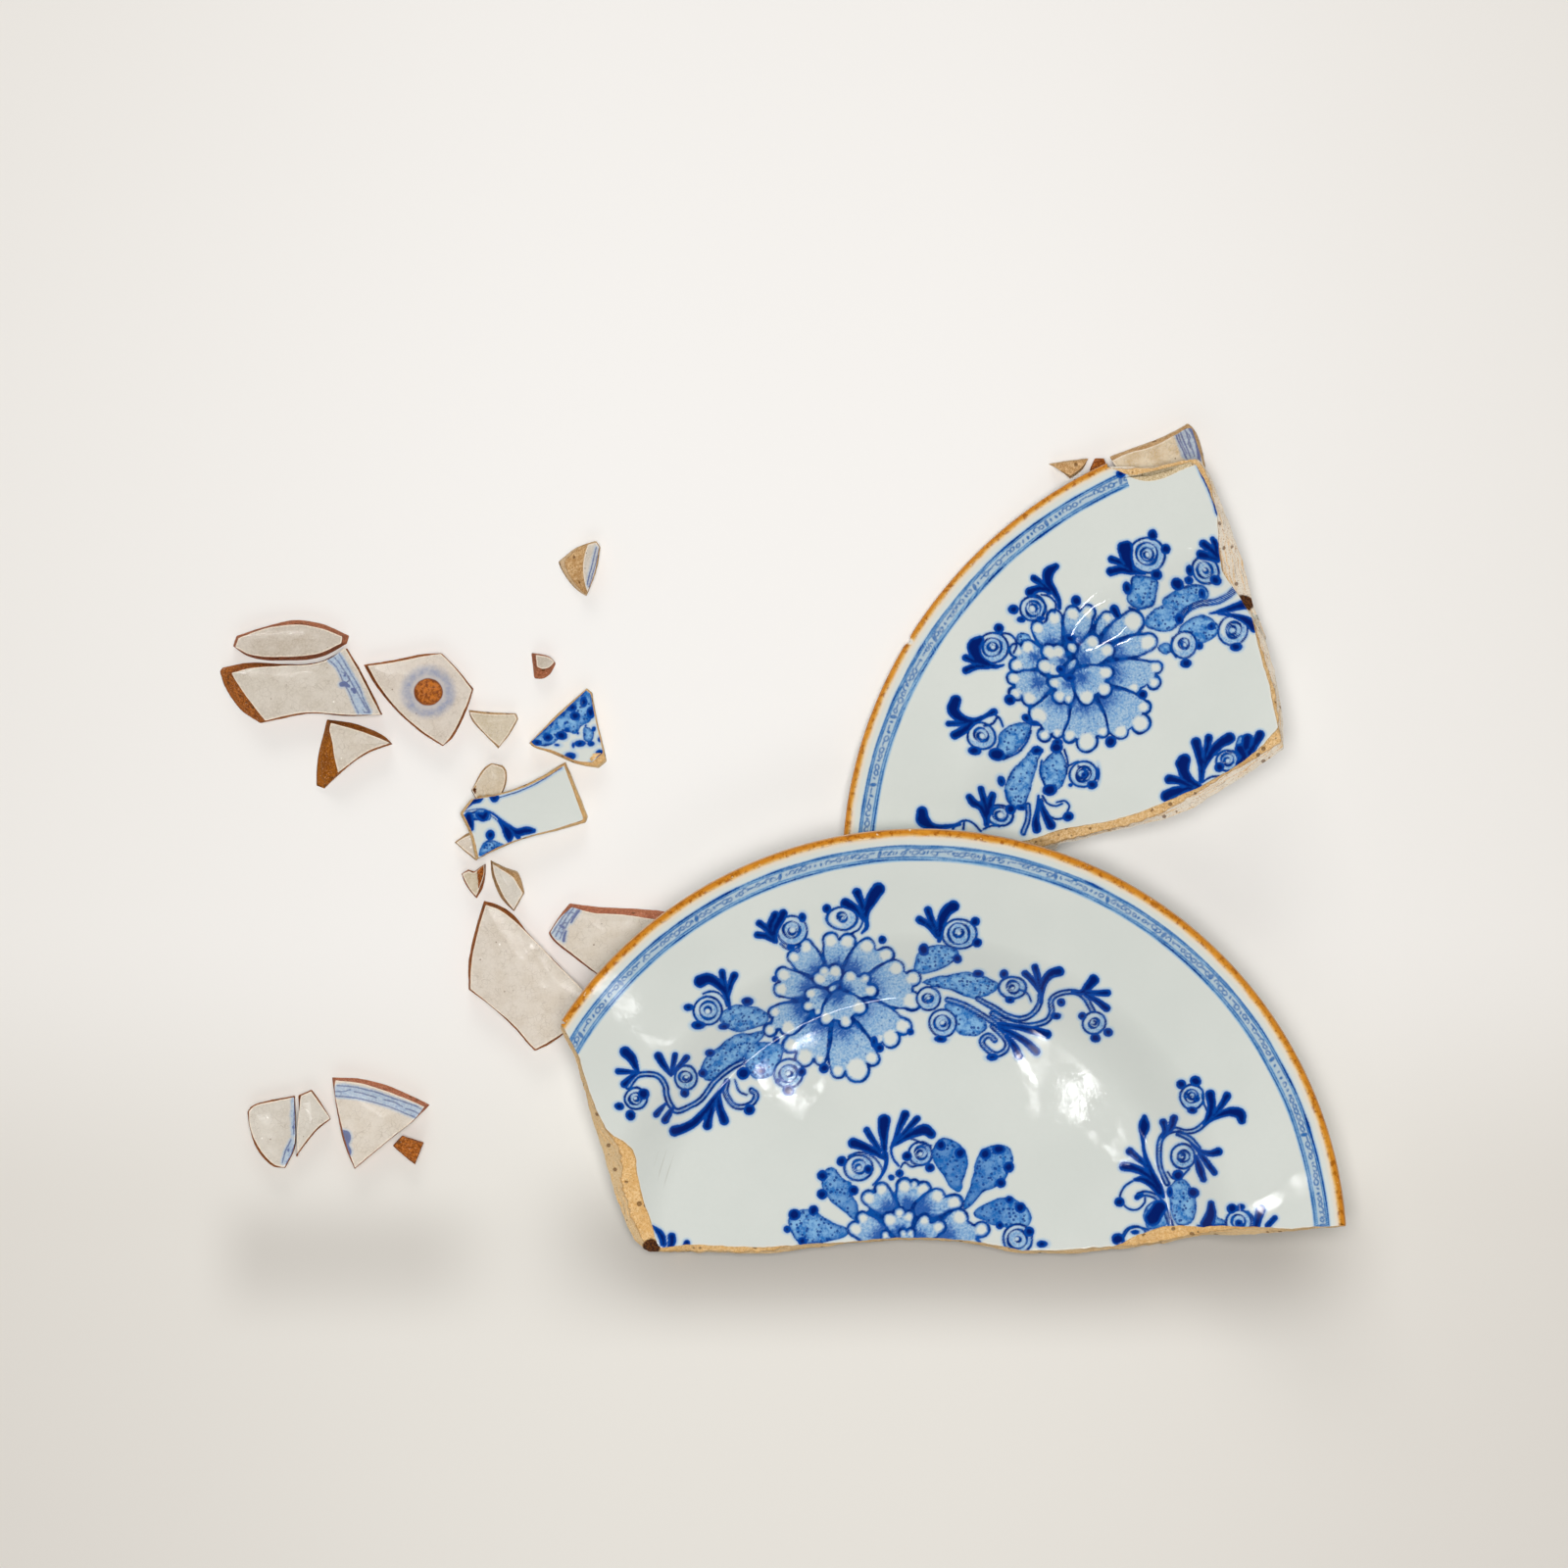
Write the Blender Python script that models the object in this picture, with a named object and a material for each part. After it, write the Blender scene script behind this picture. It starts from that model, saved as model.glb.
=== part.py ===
"""A broken tin-glazed dish: two large sherds of one turned dish and the small sherds round them.

Every sherd lies glazed side up on one flat surface, z = 0. The large sherds are cut from the
solid of the whole dish. The small ones are slabs whose broken edges slope from the glazed
face out to a wider base. Lengths are written in millimetres and made metres by MM.
"""

import math

import bmesh
import bpy
from mathutils import Matrix, Vector

MM = 0.001

# The whole dish, before it broke
RIM_RADIUS = 175.1
WELL_HEIGHT = 11.5
CAVETTO_START = 104.0
CAVETTO_END = 133.0
CAVETTO_RISE = 10.5
RIM_SLOPE = 0.215
RIM_SLOPE_START = 118.0
WALL = 5.6
FOOT_OUTER = 100.0
FOOT_INNER = 93.0
TURNED_STEPS = 112

# How the two large sherds lie: x and y of the dish's axis, and the outward lean
HALF_AXIS = (56.6, -170.6)
QUARTER_AXIS = (207.9, -12.1)
QUARTER_LEAN = math.radians(22.2)
QUARTER_LEAN_TOWARDS = math.radians(142.8)

# Heights that the blocks which cut the dish reach, clear of it above and below
CUT_TOP = 42.0
CUT_BOTTOM = -6.0

# The hollow of a small sherd's face, below its edge
SMALL_HOLLOW = 0.4

WHITE_GLAZE = ("white_glaze", (0.63, 0.65, 0.61), 0.12)
CREAM_GLAZE = ("cream_glaze", (0.60, 0.56, 0.48), 0.2)
BUFF_BODY = ("buff_body", (0.60, 0.42, 0.22), 0.9)
RED_BODY = ("red_body", (0.42, 0.16, 0.06), 0.9)

# The half's break, from its left end on the rim to its right end, seen from above and measured
# from the dish's axis: x and y on the glazed face, then x and y on the underside.
HALF_BREAK = [
    (-155, 104, -155, 104),
    (-145.5, 94, -146, 93.5),
    (-138.5, 82, -140.5, 81),
    (-134, 66.5, -136, 65),
    (-128, 52, -132, 51.5),
    (-123.5, 35.5, -127.5, 36),
    (-118, 19.5, -122.5, 19.5),
    (-115, 8.5, -118.5, 8.5),
    (-107.5, 2.5, -111.5, 0),
    (-94, 4, -87, -0.5),
    (-62.5, 2.5, -62, -0.5),
    (-41, 4.5, -41, 2),
    (-19.5, 5.5, -20, 4.5),
    (-1, 7, -1, 5.5),
    (13, 6, 15, 4.5),
    (26, 5, 26, 3),
    (43.5, 1.5, 45.5, -0.5),
    (64.5, 2, 62, -0.5),
    (80, 3, 78, 1.5),
    (90.5, 7.5, 92.5, 2.5),
    (101, 11, 101.5, 3.5),
    (117.5, 11, 116, 7),
    (135.5, 12, 135, 8.5),
    (152.5, 11.5, 154, 10),
    (174.5, 13, 174.5, 12.5),
    (190, 14, 190, 13.5),
]

# The quarter's breaks, from the rim along its top, down its right side and back to the rim
# under the half, in the dish's own frame before it leans.
QUARTER_BREAK = [
    (-90, 170, -90, 170),
    (-65, 160.5, -64, 161),
    (-48, 159, -47.5, 160.5),
    (-31, 161.5, -29, 163),
    (-25.5, 151, -22.5, 151),
    (-21.5, 138, -17, 135.5),
    (-20.5, 121, -12, 117),
    (-17, 110, -10.5, 106),
    (-10, 99.5, -6, 93),
    (-5.5, 82, -1, 78),
    (-1.5, 68.5, 3, 60.5),
    (2.5, 52, 4, 44),
    (-3.5, 45.5, -4, 39),
    (-18, 34.5, -20, 29),
    (-31.5, 28, -33, 21),
    (-43, 23, -46, 16.5),
    (-55.5, 18.5, -58, 14),
    (-70, 15, -73, 11),
    (-86.5, 12.5, -91, 7.5),
    (-112, 6, -114, 1),
    (-145, 0, -146, -4),
    (-190, -6, -190, -9),
]

# Small sherds: finish, thickness, x and y of the middle, then each corner as x and y on the
# glazed face and x and y at the base, all from the middle.
SMALL_SHERDS = {
    "lens_sherd": (CREAM_GLAZE, 5.5, (-202, 82), [
        (-23, -3, -24.5, -2.5), (-21.5, 1, -23, 2), (-10, 5, -10.5, 6), (1.5, 6.5, 1.5, 8.5),
        (12.5, 5, 14, 6.5), (21.5, 1.5, 24, 2), (21, -1.5, 23, -1.5), (12, -5.5, 12.5, -7),
        (0, -7, 0, -8.5), (-17, -6, -17.5, -7)]),
    "band_sherd": (CREAM_GLAZE, 6, (-198, 63), [
        (-28.5, 5.5, -32.5, 8), (-21, 7.5, -21, 10), (-8.5, 8.5, -9, 9.5), (6.5, 9.5, 6, 10),
        (15, 13, 14.5, 13.5), (18.5, 16, 19, 16), (24, 6.5, 24.5, 7), (33.5, -12, 34, -12),
        (19.5, -12, 19, -12.5), (3.5, -11, 3, -11.5), (-6.5, -12.5, -7.5, -13.5),
        (-14.5, -14.5, -17, -15.5), (-20, -7.5, -25.5, -9.5), (-25, -0.5, -31.5, -0.5),
        (-27.5, 3.5, -34, 6)]),
    "hooked_sherd": (CREAM_GLAZE, 6, (-176, 35), [
        (-9.5, 13, -11.5, 14.5), (1.5, 10, 1, 12.5), (11, 6.5, 12.5, 7.5), (15.5, 4.5, 16, 4),
        (6, 1, 6.5, 0.5), (-2, -4.5, -2, -5), (-6.5, -8, -12.5, -14.5), (-8, -1.5, -16, -13),
        (-9, 5, -15.5, -2.5), (-10, 10, -13, 8.5)]),
    "dotted_sherd": (CREAM_GLAZE, 5.5, (-149, 57), [
        (-21.5, 14.5, -23.5, 15), (-10.5, 16, -11, 17), (2, 18.5, 1.5, 19.5), (9, 19.5, 9, 20),
        (14.5, 14, 14.5, 14.5), (22, 4.5, 22.5, 5), (19, -3.5, 19.5, -4),
        (13, -15, 13.5, -15.5), (10, -18.5, 9.5, -19), (1, -12.5, 0, -13),
        (-10, -2.5, -11, -3), (-17.5, 7.5, -19, 7)]),
    "kite_sherd": (CREAM_GLAZE, 4.5, (-119, 45), [
        (-9.5, 7.5, -10, 8.5), (-1, 6.5, -1, 7.5), (9.5, 6.5, 10, 7), (10.5, 4.5, 11, 4.5),
        (6.5, -2.5, 7, -2.5), (3, -7, 2.5, -8), (-2.5, -2, -3, -2.5), (-8, 4.5, -9, 4.5)]),
    "lined_chip": (BUFF_BODY, 5, (-83, 112), [
        (3.5, 9.5, -0.5, 9), (7, 10.5, 7, 11.5), (8.5, 8.5, 9, 8.5), (6.5, -2, 7, -2),
        (3.5, -10.5, 3, -12), (2.5, -7.5, -1.5, -9), (1.5, -1, -7.5, -1), (2, 4.5, -9, 2.5)]),
    "pebble_chip": (RED_BODY, 5, (-98, 71), [
        (-3, 5, -5, 6), (2.5, 4, 2.5, 4.5), (5, 2, 5.5, 1.5), (2.5, -0.5, 3, -3),
        (-0.5, -1, 0, -5), (-2.5, 0, -4, -5)]),
    "mottled_sherd": (WHITE_GLAZE, 5.5, (-88, 46), [
        (-15, -6, -16, -6.5), (-5, 3.5, -5.5, 4.5), (8, 15.5, 8, 16.5), (10, 14, 10.5, 14.5),
        (12, 3, 12.5, 3), (14.5, -8, 15.5, -9), (15, -10.5, 16.5, -14),
        (10.5, -14.5, 13, -17), (4.5, -14, 4.5, -15.5), (-6.5, -9.5, -7.5, -10.5),
        (-13.5, -7.5, -14.5, -8)]),
    "upper_prop": (BUFF_BODY, 4, (-121, 22), [
        (-6.5, -2, -7, -2), (-1, 6.5, -1.5, 7.5), (2, 9, 1.5, 9.5), (6.5, 7.5, 6.5, 8.5),
        (7.5, 5.5, 8, 6), (6.5, -2, 7, -2), (3, -7, 3.5, -7.5), (-4, -6, -4.5, -6.5)]),
    "lower_prop": (WHITE_GLAZE, 5, (-128, -3), [
        (-6, 1.5, -7, 1.5), (-0.5, 4.5, -1, 5.5), (5.5, 5.5, 5.5, 6), (7, 1, 7, 0.5),
        (2.5, -5.5, 2.5, -6.5), (-2, -2, -2.5, -2.5)]),
    "notched_chip": (BUFF_BODY, 4.5, (-126, -17), [
        (-5.5, 2.5, -6, 2.5), (-2.5, 4, -3, 4.5), (-0.5, 3, -0.5, 3.5), (2, 5, 2, 5.5),
        (4, 6.5, 4.5, 7), (4, 2.5, 4.5, 3), (2, -3.5, 3, -4), (0.5, -7, 0.5, -8),
        (-2, -4, -2.5, -4.5), (-4, -0.5, -5, -0.5)]),
    "split_chip": (CREAM_GLAZE, 5, (-113, -20), [
        (-6, 10, -7, 11.5), (-2, 7.5, -2, 9), (3, 4, 4.5, 6.5), (5, 1, 6, 3.5),
        (7, -2.5, 7.5, -2.5), (5, -6, 5.5, -6), (3, -9.5, 3, -10.5), (-0.5, -5, -2, -5.5),
        (-2.5, -1.5, -4, -2), (-5, 5, -6.5, 5)]),
    "shield_sherd": (CREAM_GLAZE, 6, (-103, -57), [
        (-18.5, 30, -19.5, 31.5), (-13, 28, -14, 30), (-8, 24.5, -7.5, 26),
        (-0.5, 17.5, -1, 18), (12.5, 4, 12, 4.5), (21.5, -5, 22, -6), (26, -10, 26.5, -10.5),
        (19, -19, 18.5, -19.5), (7.5, -27, 8, -28), (2, -30, 1.5, -31), (-0.5, -27.5, -1.5, -28),
        (-6, -21, -6.5, -22), (-17.5, -11, -18, -11.5), (-25, -5, -26, -5.5),
        (-24.5, 6, -26, 6), (-21, 22, -22.5, 22)]),
    "banded_wing": (CREAM_GLAZE, 6, (-69, -43), [
        (-17, 15, -18, 16.5), (-7.5, 12.5, -6.5, 15), (3, 12, 3.5, 14.5), (17, 10, 18.5, 13.5),
        (27, 9, 27.5, 12), (22, -1.5, 22.5, -2), (9, -11, 9.5, -12), (-3, -15.5, -3, -16),
        (-15, -6, -15.5, -7), (-25, 2.5, -26, 2), (-26, 4.5, -27, 4), (-22, 10.5, -22.5, 11)]),
    "striped_sherd": (CREAM_GLAZE, 5, (-210, -121), [
        (-9.5, 8.5, -10.5, 8), (-7.5, 10.5, -8.5, 10.5), (-0.5, 12.5, -1, 13),
        (9.5, 14.5, 9.5, 15), (10, 5, 10, 5), (9.5, -6.5, 9.5, -7), (5.5, -15, 5.5, -15.5),
        (1, -13.5, 0, -14.5), (-6, -5.5, -7, -6.5), (-9, 2.5, -9.5, 1.5)]),
    "folded_sherd": (CREAM_GLAZE, 5, (-193, -118), [
        (-5, 12, -6.5, 12), (-0.5, 14, -0.5, 14.5), (4.5, 7, 4.5, 7), (7.5, 2.5, 7.5, 2),
        (2, -1.5, 2, -2.5), (-3, -7.5, -3.5, -9), (-6.5, -12.5, -7, -14), (-6.5, -1, -6, -1.5)]),
    "fan_sherd": (CREAM_GLAZE, 6, (-165, -118), [
        (-18.5, 18.5, -20.5, 19.5), (-9, 17.5, -9.5, 19), (-0.5, 15, 0, 17), (8, 12, 9, 13.5),
        (18.5, 7.5, 20.5, 8), (15, 3, 15, 2.5), (4, -6, 4, -6.5), (-10.5, -18, -11, -19),
        (-14, -8.5, -15, -9.5), (-17.5, 6, -18.5, 5.5), (-19, 16, -20, 16)]),
    "bare_chip": (RED_BODY, 4.5, (-154, -129), [
        (-2, 6.5, -2.5, 6.5), (6.5, 3, 7, 3.5), (5.5, 0.5, 5.5, 0), (3.5, -5, 3, -6),
        (-1.5, -1.5, -2, -2), (-5.5, 2.5, -6.5, 2)]),
    "corner_sherd": (CREAM_GLAZE, 6, (156, 157), [
        (-19.5, -1, -20, 1), (-13, 2, -12.5, 4), (-2.5, 5, -2.5, 7.5), (7.5, 10, 7.5, 12),
        (12, 12.5, 12.5, 15), (14, 12.5, 15, 13), (18, 0, 19.5, 0), (19.5, -8, 20.5, -8.5),
        (5.5, -14.5, 6, -15), (-12, -10.5, -12, -11)]),
    "tip_sherd": (BUFF_BODY, 4, (119, 153), [
        (-7, 1.5, -8.5, 2), (0, 2.5, -0.5, 3.5), (8.5, 4, 8.5, 4.5), (6, 0.5, 6.5, 0),
        (1, -3.5, 1, -4.5), (-3.5, -1, -4, -0.5)]),
    "brick_chip": (RED_BODY, 5, (132, 155), [
        (-2.5, 0.5, -2, 2.5), (1.5, 2, 2, 2.5), (3, -0.5, 3.5, -1), (-1.5, -3, -1.5, -3.5),
        (-4, -3, -4.5, -3)]),
}

# The sherd that lies across the two props, higher at its left end
BRIDGE_AT = (-106, 11)
BRIDGE_THICKNESS = 5.0
BRIDGE_RIGHT_END = 27.0
BRIDGE_LEAN = math.radians(7.2)
BRIDGE_CORNERS = [
    (-25.5, -0.5, -26.5, -0.5), (-21, 5.5, -22, 5.5), (-11.5, 7, -11.5, 7.5),
    (0, 10.5, -0.5, 11), (10.5, 15.5, 10, 16.5), (16.5, 19.5, 17.5, 21), (20.5, 8.5, 22, 10.5),
    (24.5, -2.5, 27, -2), (24, -3.5, 26, -4.5), (13, -7, 13.5, -8), (0, -10.5, -0.5, -11.5),
    (-10.5, -14.5, -10.5, -15.5), (-19, -19, -20, -20), (-21.5, -9, -22.5, -9),
]


def clear_scene():
    for item in list(bpy.data.objects):
        bpy.data.objects.remove(item)


def finish(obj, recipe):
    """Gives an object its own plain material."""
    slot, colour, roughness = recipe
    material = bpy.data.materials.new(obj.name + "_" + slot)
    material.use_nodes = True
    shader = material.node_tree.nodes["Principled BSDF"]
    shader.inputs["Base Color"].default_value = (*colour, 1.0)
    shader.inputs["Roughness"].default_value = roughness
    shader.inputs["Metallic"].default_value = 0.0
    obj.data.materials.append(material)


def new_object(name, bm):
    """Turns a bmesh into an object, with its faces pointing out."""
    bmesh.ops.recalc_face_normals(bm, faces=bm.faces)
    mesh = bpy.data.meshes.new(name)
    bm.to_mesh(mesh)
    bm.free()
    obj = bpy.data.objects.new(name, mesh)
    bpy.context.scene.collection.objects.link(obj)
    return obj


def face_height(radius):
    """Height of the glazed face: flat well, an S-shaped cavetto, then a rim of even slope."""
    t = min(max((radius - CAVETTO_START) / (CAVETTO_END - CAVETTO_START), 0.0), 1.0)
    cavetto = CAVETTO_RISE * t * t * (3.0 - 2.0 * t)
    slope = RIM_SLOPE * 5.0 * math.log1p(math.exp((radius - RIM_SLOPE_START) / 5.0))
    return WELL_HEIGHT + cavetto + slope


def dish_profile():
    """Half the dish's section, from the axis over the face, round the rim and back below."""
    face_radii = [0, 60, 98] + list(range(104, 136, 3)) + [140, 148, 156, 164, 172]
    face = [(r, face_height(r)) for r in face_radii]

    rim_height = face_height(172) - WALL * 0.36
    rim = []
    for step in range(1, 6):
        angle = math.radians(68 - 28 * step)
        rim.append((RIM_RADIUS - 2.2 + 2.2 * math.cos(angle), rim_height + 2.2 * math.sin(angle)))

    under = []
    for radius in [168, 158, 148, 140] + list(range(134, 103, -3)):
        rise = face_height(radius + 0.5) - face_height(radius - 0.5)
        length = math.hypot(1.0, rise)
        under.append((radius + WALL * rise / length, face_height(radius) - WALL / length))
    well_underside = WELL_HEIGHT - WALL
    foot = [
        (FOOT_OUTER + 1.5, well_underside - 1.0),
        (FOOT_OUTER, 0.0),
        (FOOT_INNER, 0.0),
        (FOOT_INNER - 2.5, well_underside),
        (0.0, well_underside),
    ]
    return face + rim + under + foot


def turned_dish(name):
    """The dish's section spun once round its axis."""
    bm = bmesh.new()
    verts = [bm.verts.new((r * MM, 0.0, z * MM)) for r, z in dish_profile()]
    edges = [bm.edges.new(pair) for pair in zip(verts, verts[1:])]
    bmesh.ops.spin(
        bm, geom=verts + edges, axis=(0, 0, 1), cent=(0, 0, 0),
        steps=TURNED_STEPS, angle=math.tau, use_merge=True,
    )
    bmesh.ops.remove_doubles(bm, verts=bm.verts, dist=1e-6)
    return new_object(name, bm)


def underside_height(radius):
    return face_height(radius) - WALL


def keep_block(name, stations, far_corners):
    """The space that a sherd takes up, with its break running from the face to the underside.

    Four outlines, one above the other: the two at the face and the underside give the break its
    slope, and those above and below them repeat their places, clear of the dish.
    """
    outlines = [[], [], [], []]
    for gx, gy, ux, uy in stations:
        face_z = face_height(min(math.hypot(gx, gy), RIM_RADIUS))
        under_z = underside_height(min(math.hypot(ux, uy), RIM_RADIUS))
        places = [(gx, gy, CUT_TOP), (gx, gy, face_z), (ux, uy, under_z), (ux, uy, CUT_BOTTOM)]
        for outline, place in zip(outlines, places):
            outline.append(place)
    for x, y in far_corners:
        for outline, height in zip(outlines, (CUT_TOP, CUT_TOP - 10, CUT_BOTTOM + 10, CUT_BOTTOM)):
            outline.append((x, y, height))

    block = new_object(name, stacked_block(outlines))
    block.hide_render = True
    block.display_type = "WIRE"
    return block


def stacked_block(outlines, face_middle=None):
    """A closed block through outlines of as many points each, top first, in millimetres.

    With face_middle, the top is a fan of triangles round that point.
    """
    bm = bmesh.new()
    rings = [[bm.verts.new(Vector(point) * MM) for point in outline] for outline in outlines]
    count = len(rings[0])
    if face_middle is None:
        bm.faces.new(rings[0])
    else:
        middle = bm.verts.new(Vector(face_middle) * MM)
        for i in range(count):
            bm.faces.new((rings[0][i], rings[0][(i + 1) % count], middle))
    bm.faces.new(rings[-1])
    for upper, lower in zip(rings, rings[1:]):
        for i in range(count):
            following = (i + 1) % count
            bm.faces.new((upper[i], upper[following], lower[following], lower[i]))
    return bm


def cut_from_dish(name, block, recipe):
    """A large sherd: the part of the turned dish inside its keep block."""
    sherd = turned_dish(name)
    cut = sherd.modifiers.new("break", "BOOLEAN")
    cut.operation = "INTERSECT"
    cut.solver = "EXACT"
    cut.object = block
    sherd.data.shade_smooth()
    sherd.data.set_sharp_from_angle(angle=math.radians(35))
    finish(sherd, recipe)
    return sherd


def half_sherd():
    """The larger part of the dish, level on its foot ring."""
    block = keep_block("half_keep", HALF_BREAK, [(190, 200), (-155, 200)])
    half = cut_from_dish("half_sherd", block, WHITE_GLAZE)
    place = Matrix.Translation((HALF_AXIS[0] * MM, HALF_AXIS[1] * MM, 0.0))
    half.matrix_world = place
    block.matrix_world = place


def quarter_sherd():
    """A quarter of the dish, leaning out until foot ring and rim both touch the ground."""
    block = keep_block("quarter_keep", QUARTER_BREAK, [(-190, 170)])
    quarter = cut_from_dish("quarter_sherd", block, WHITE_GLAZE)
    foot = Vector((FOOT_OUTER * MM, 0.0, 0.0))
    lean = (
        Matrix.Translation(foot)
        @ Matrix.Rotation(QUARTER_LEAN, 4, "Y")
        @ Matrix.Translation(-foot)
    )
    towards = Matrix.Rotation(QUARTER_LEAN_TOWARDS, 4, "Z")
    place = Matrix.Translation((QUARTER_AXIS[0] * MM, QUARTER_AXIS[1] * MM, 0.0))
    quarter.matrix_world = place @ towards @ lean @ towards.inverted()
    block.matrix_world = quarter.matrix_world


def small_sherd(name, recipe, thickness, place, corners):
    """A slab with a slightly hollow face and sloping broken edges."""
    top = [(gx, gy, thickness) for gx, gy, bx, by in corners]
    bottom = [(bx, by, 0.0) for gx, gy, bx, by in corners]
    middle_x = sum(point[0] for point in top) / len(top)
    middle_y = sum(point[1] for point in top) / len(top)
    middle = (middle_x, middle_y, thickness - SMALL_HOLLOW)
    sherd = new_object(name, stacked_block([top, bottom], middle))
    sherd.location = (place[0] * MM, place[1] * MM, 0.0)
    finish(sherd, recipe)
    return sherd


def bridge_sherd():
    """The sherd that leans on the two props: its right end on the ground, its left raised."""
    sherd = small_sherd(
        "bridge_sherd", WHITE_GLAZE, BRIDGE_THICKNESS, BRIDGE_AT, BRIDGE_CORNERS
    )
    sherd.rotation_euler = (0.0, BRIDGE_LEAN, 0.0)
    sherd.location.z = BRIDGE_RIGHT_END * math.sin(BRIDGE_LEAN) * MM


clear_scene()
half_sherd()
quarter_sherd()
for sherd_name, (recipe, thickness, place, corners) in SMALL_SHERDS.items():
    small_sherd(sherd_name, recipe, thickness, place, corners)
bridge_sherd()
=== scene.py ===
"""The looks of a broken tin-glazed dish: its glaze, cobalt painting, ochre rim and raw breaks.

Everything lies on one table top. The two large sherds are turned ware, worked out from the
dish's section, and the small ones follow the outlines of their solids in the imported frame.
Lengths inside each section are millimetres; meshes are written in metres.
"""

import functools
import math

import bpy
import numpy as np
from mathutils import Matrix, Vector


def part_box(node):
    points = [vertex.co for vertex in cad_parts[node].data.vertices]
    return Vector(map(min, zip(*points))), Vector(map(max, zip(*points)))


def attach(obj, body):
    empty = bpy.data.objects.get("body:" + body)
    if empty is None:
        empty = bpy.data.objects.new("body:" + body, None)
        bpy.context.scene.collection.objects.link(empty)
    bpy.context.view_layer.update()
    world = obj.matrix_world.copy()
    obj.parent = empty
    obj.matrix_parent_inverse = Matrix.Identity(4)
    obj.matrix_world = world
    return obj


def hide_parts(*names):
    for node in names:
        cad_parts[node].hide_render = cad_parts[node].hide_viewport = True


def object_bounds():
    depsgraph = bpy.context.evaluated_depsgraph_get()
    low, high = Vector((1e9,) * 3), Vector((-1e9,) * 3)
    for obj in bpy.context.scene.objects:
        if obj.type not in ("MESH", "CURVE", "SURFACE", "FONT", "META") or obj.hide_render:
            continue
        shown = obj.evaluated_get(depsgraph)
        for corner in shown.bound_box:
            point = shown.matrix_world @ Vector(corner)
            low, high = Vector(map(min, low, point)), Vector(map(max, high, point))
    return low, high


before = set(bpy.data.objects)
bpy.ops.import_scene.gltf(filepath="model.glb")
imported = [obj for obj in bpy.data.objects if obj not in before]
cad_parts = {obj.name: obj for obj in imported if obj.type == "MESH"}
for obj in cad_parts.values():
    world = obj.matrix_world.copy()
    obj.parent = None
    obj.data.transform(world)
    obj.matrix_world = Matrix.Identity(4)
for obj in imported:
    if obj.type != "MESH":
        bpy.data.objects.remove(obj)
cad_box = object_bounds()
scene = bpy.context.scene
scene.view_settings.view_transform = "Standard"


# --------------------------------------------------------------------
# The table top and the studio light. A pale top of painted board whose colour carries painted
# shade, darker towards its near side and its edges, and soft painted shadows below the lowest
# sherds. It is lit by a wide soft sky panel and a low panel at the far side, with a few small
# panes that only put a glint on the glaze. The camera looks straight down on the sherds.

low, high = (np.array(corner) * 1000 for corner in cad_box)
middle = (low + high) / 2


def painted(red, green, blue):
    """A colour given as it is seen, 0 to 255, as the linear values that a shader wants."""
    seen = np.array([red, green, blue]) / 255
    linear = np.where(seen <= 0.04045, seen / 12.92, ((seen + 0.055) / 1.055) ** 2.4)
    return (*(float(v) for v in linear), 1.0)


def add_node(tree, kind, sockets=None, **settings):
    """One shader node: its settings, then each socket's value or the link that feeds it."""
    made = tree.nodes.new(kind)
    for key, value in settings.items():
        setattr(made, key, value)
    for key, value in (sockets or {}).items():
        if isinstance(value, bpy.types.NodeSocket):
            tree.links.new(value, made.inputs[key])
        else:
            made.inputs[key].default_value = value
    return made


def sums(operation, first, second=0.5):
    """The value of one Math node, in the tree that its sockets belong to."""
    tree = next(value.id_data for value in (first, second) if isinstance(value, bpy.types.NodeSocket))
    return add_node(tree, "ShaderNodeMath", {0: first, 1: second}, operation=operation).outputs[0]


def times(*factors):
    """The product of two or more values."""
    return functools.reduce(lambda first, second: sums("MULTIPLY", first, second), factors)


def plus(first, second):
    return sums("ADD", first, second)


def less(first, second):
    return sums("SUBTRACT", first, second)


def swayed_by(patches, amount):
    """Noise made to run from minus to plus half the amount."""
    return times(less(patches, 0.5), amount)


def ramp(value, start, end, low_value=0.0, high_value=1.0):
    """A smooth rise from low_value at start to high_value at end."""
    limits = {"From Min": start, "From Max": end, "To Min": low_value, "To Max": high_value}
    made = add_node(value.id_data, "ShaderNodeMapRange", {"Value": value, **limits},
                    interpolation_type="SMOOTHSTEP")
    return made.outputs["Result"]


def blend(factor, first, second):
    """Two colours mixed by a factor."""
    given = (factor, first, second)
    tree = next(value.id_data for value in given if isinstance(value, bpy.types.NodeSocket))
    return add_node(tree, "ShaderNodeMix", dict(zip((0, 6, 7), given)), data_type="RGBA").outputs[2]


def noise(where, size_mm, detail=2.0, roughness=0.5):
    """Cloudy noise whose blobs are about size_mm across, 0 to 1."""
    grade = {"Scale": 1000.0 / size_mm, "Detail": detail, "Roughness": roughness}
    return add_node(where.id_data, "ShaderNodeTexNoise", {"Vector": where, **grade}).outputs["Fac"]


def cloud(where, size_mm, detail, roughness, start, end, low_value=0.0, high_value=1.0):
    """Cloudy patches: noise that rises from low_value to high_value between start and end."""
    return ramp(noise(where, size_mm, detail, roughness), start, end, low_value, high_value)


def specks(where, scale):
    """Scattered round specks: the distance from the nearest one's middle, in its own spacing,
    and two random values that it has for itself."""
    cells = add_node(where.id_data, "ShaderNodeTexVoronoi", {"Vector": where, "Scale": scale})
    own = add_node(where.id_data, "ShaderNodeSeparateColor", {"Color": cells.outputs["Color"]})
    return cells.outputs["Distance"], own.outputs["Red"], own.outputs["Green"]


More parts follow.
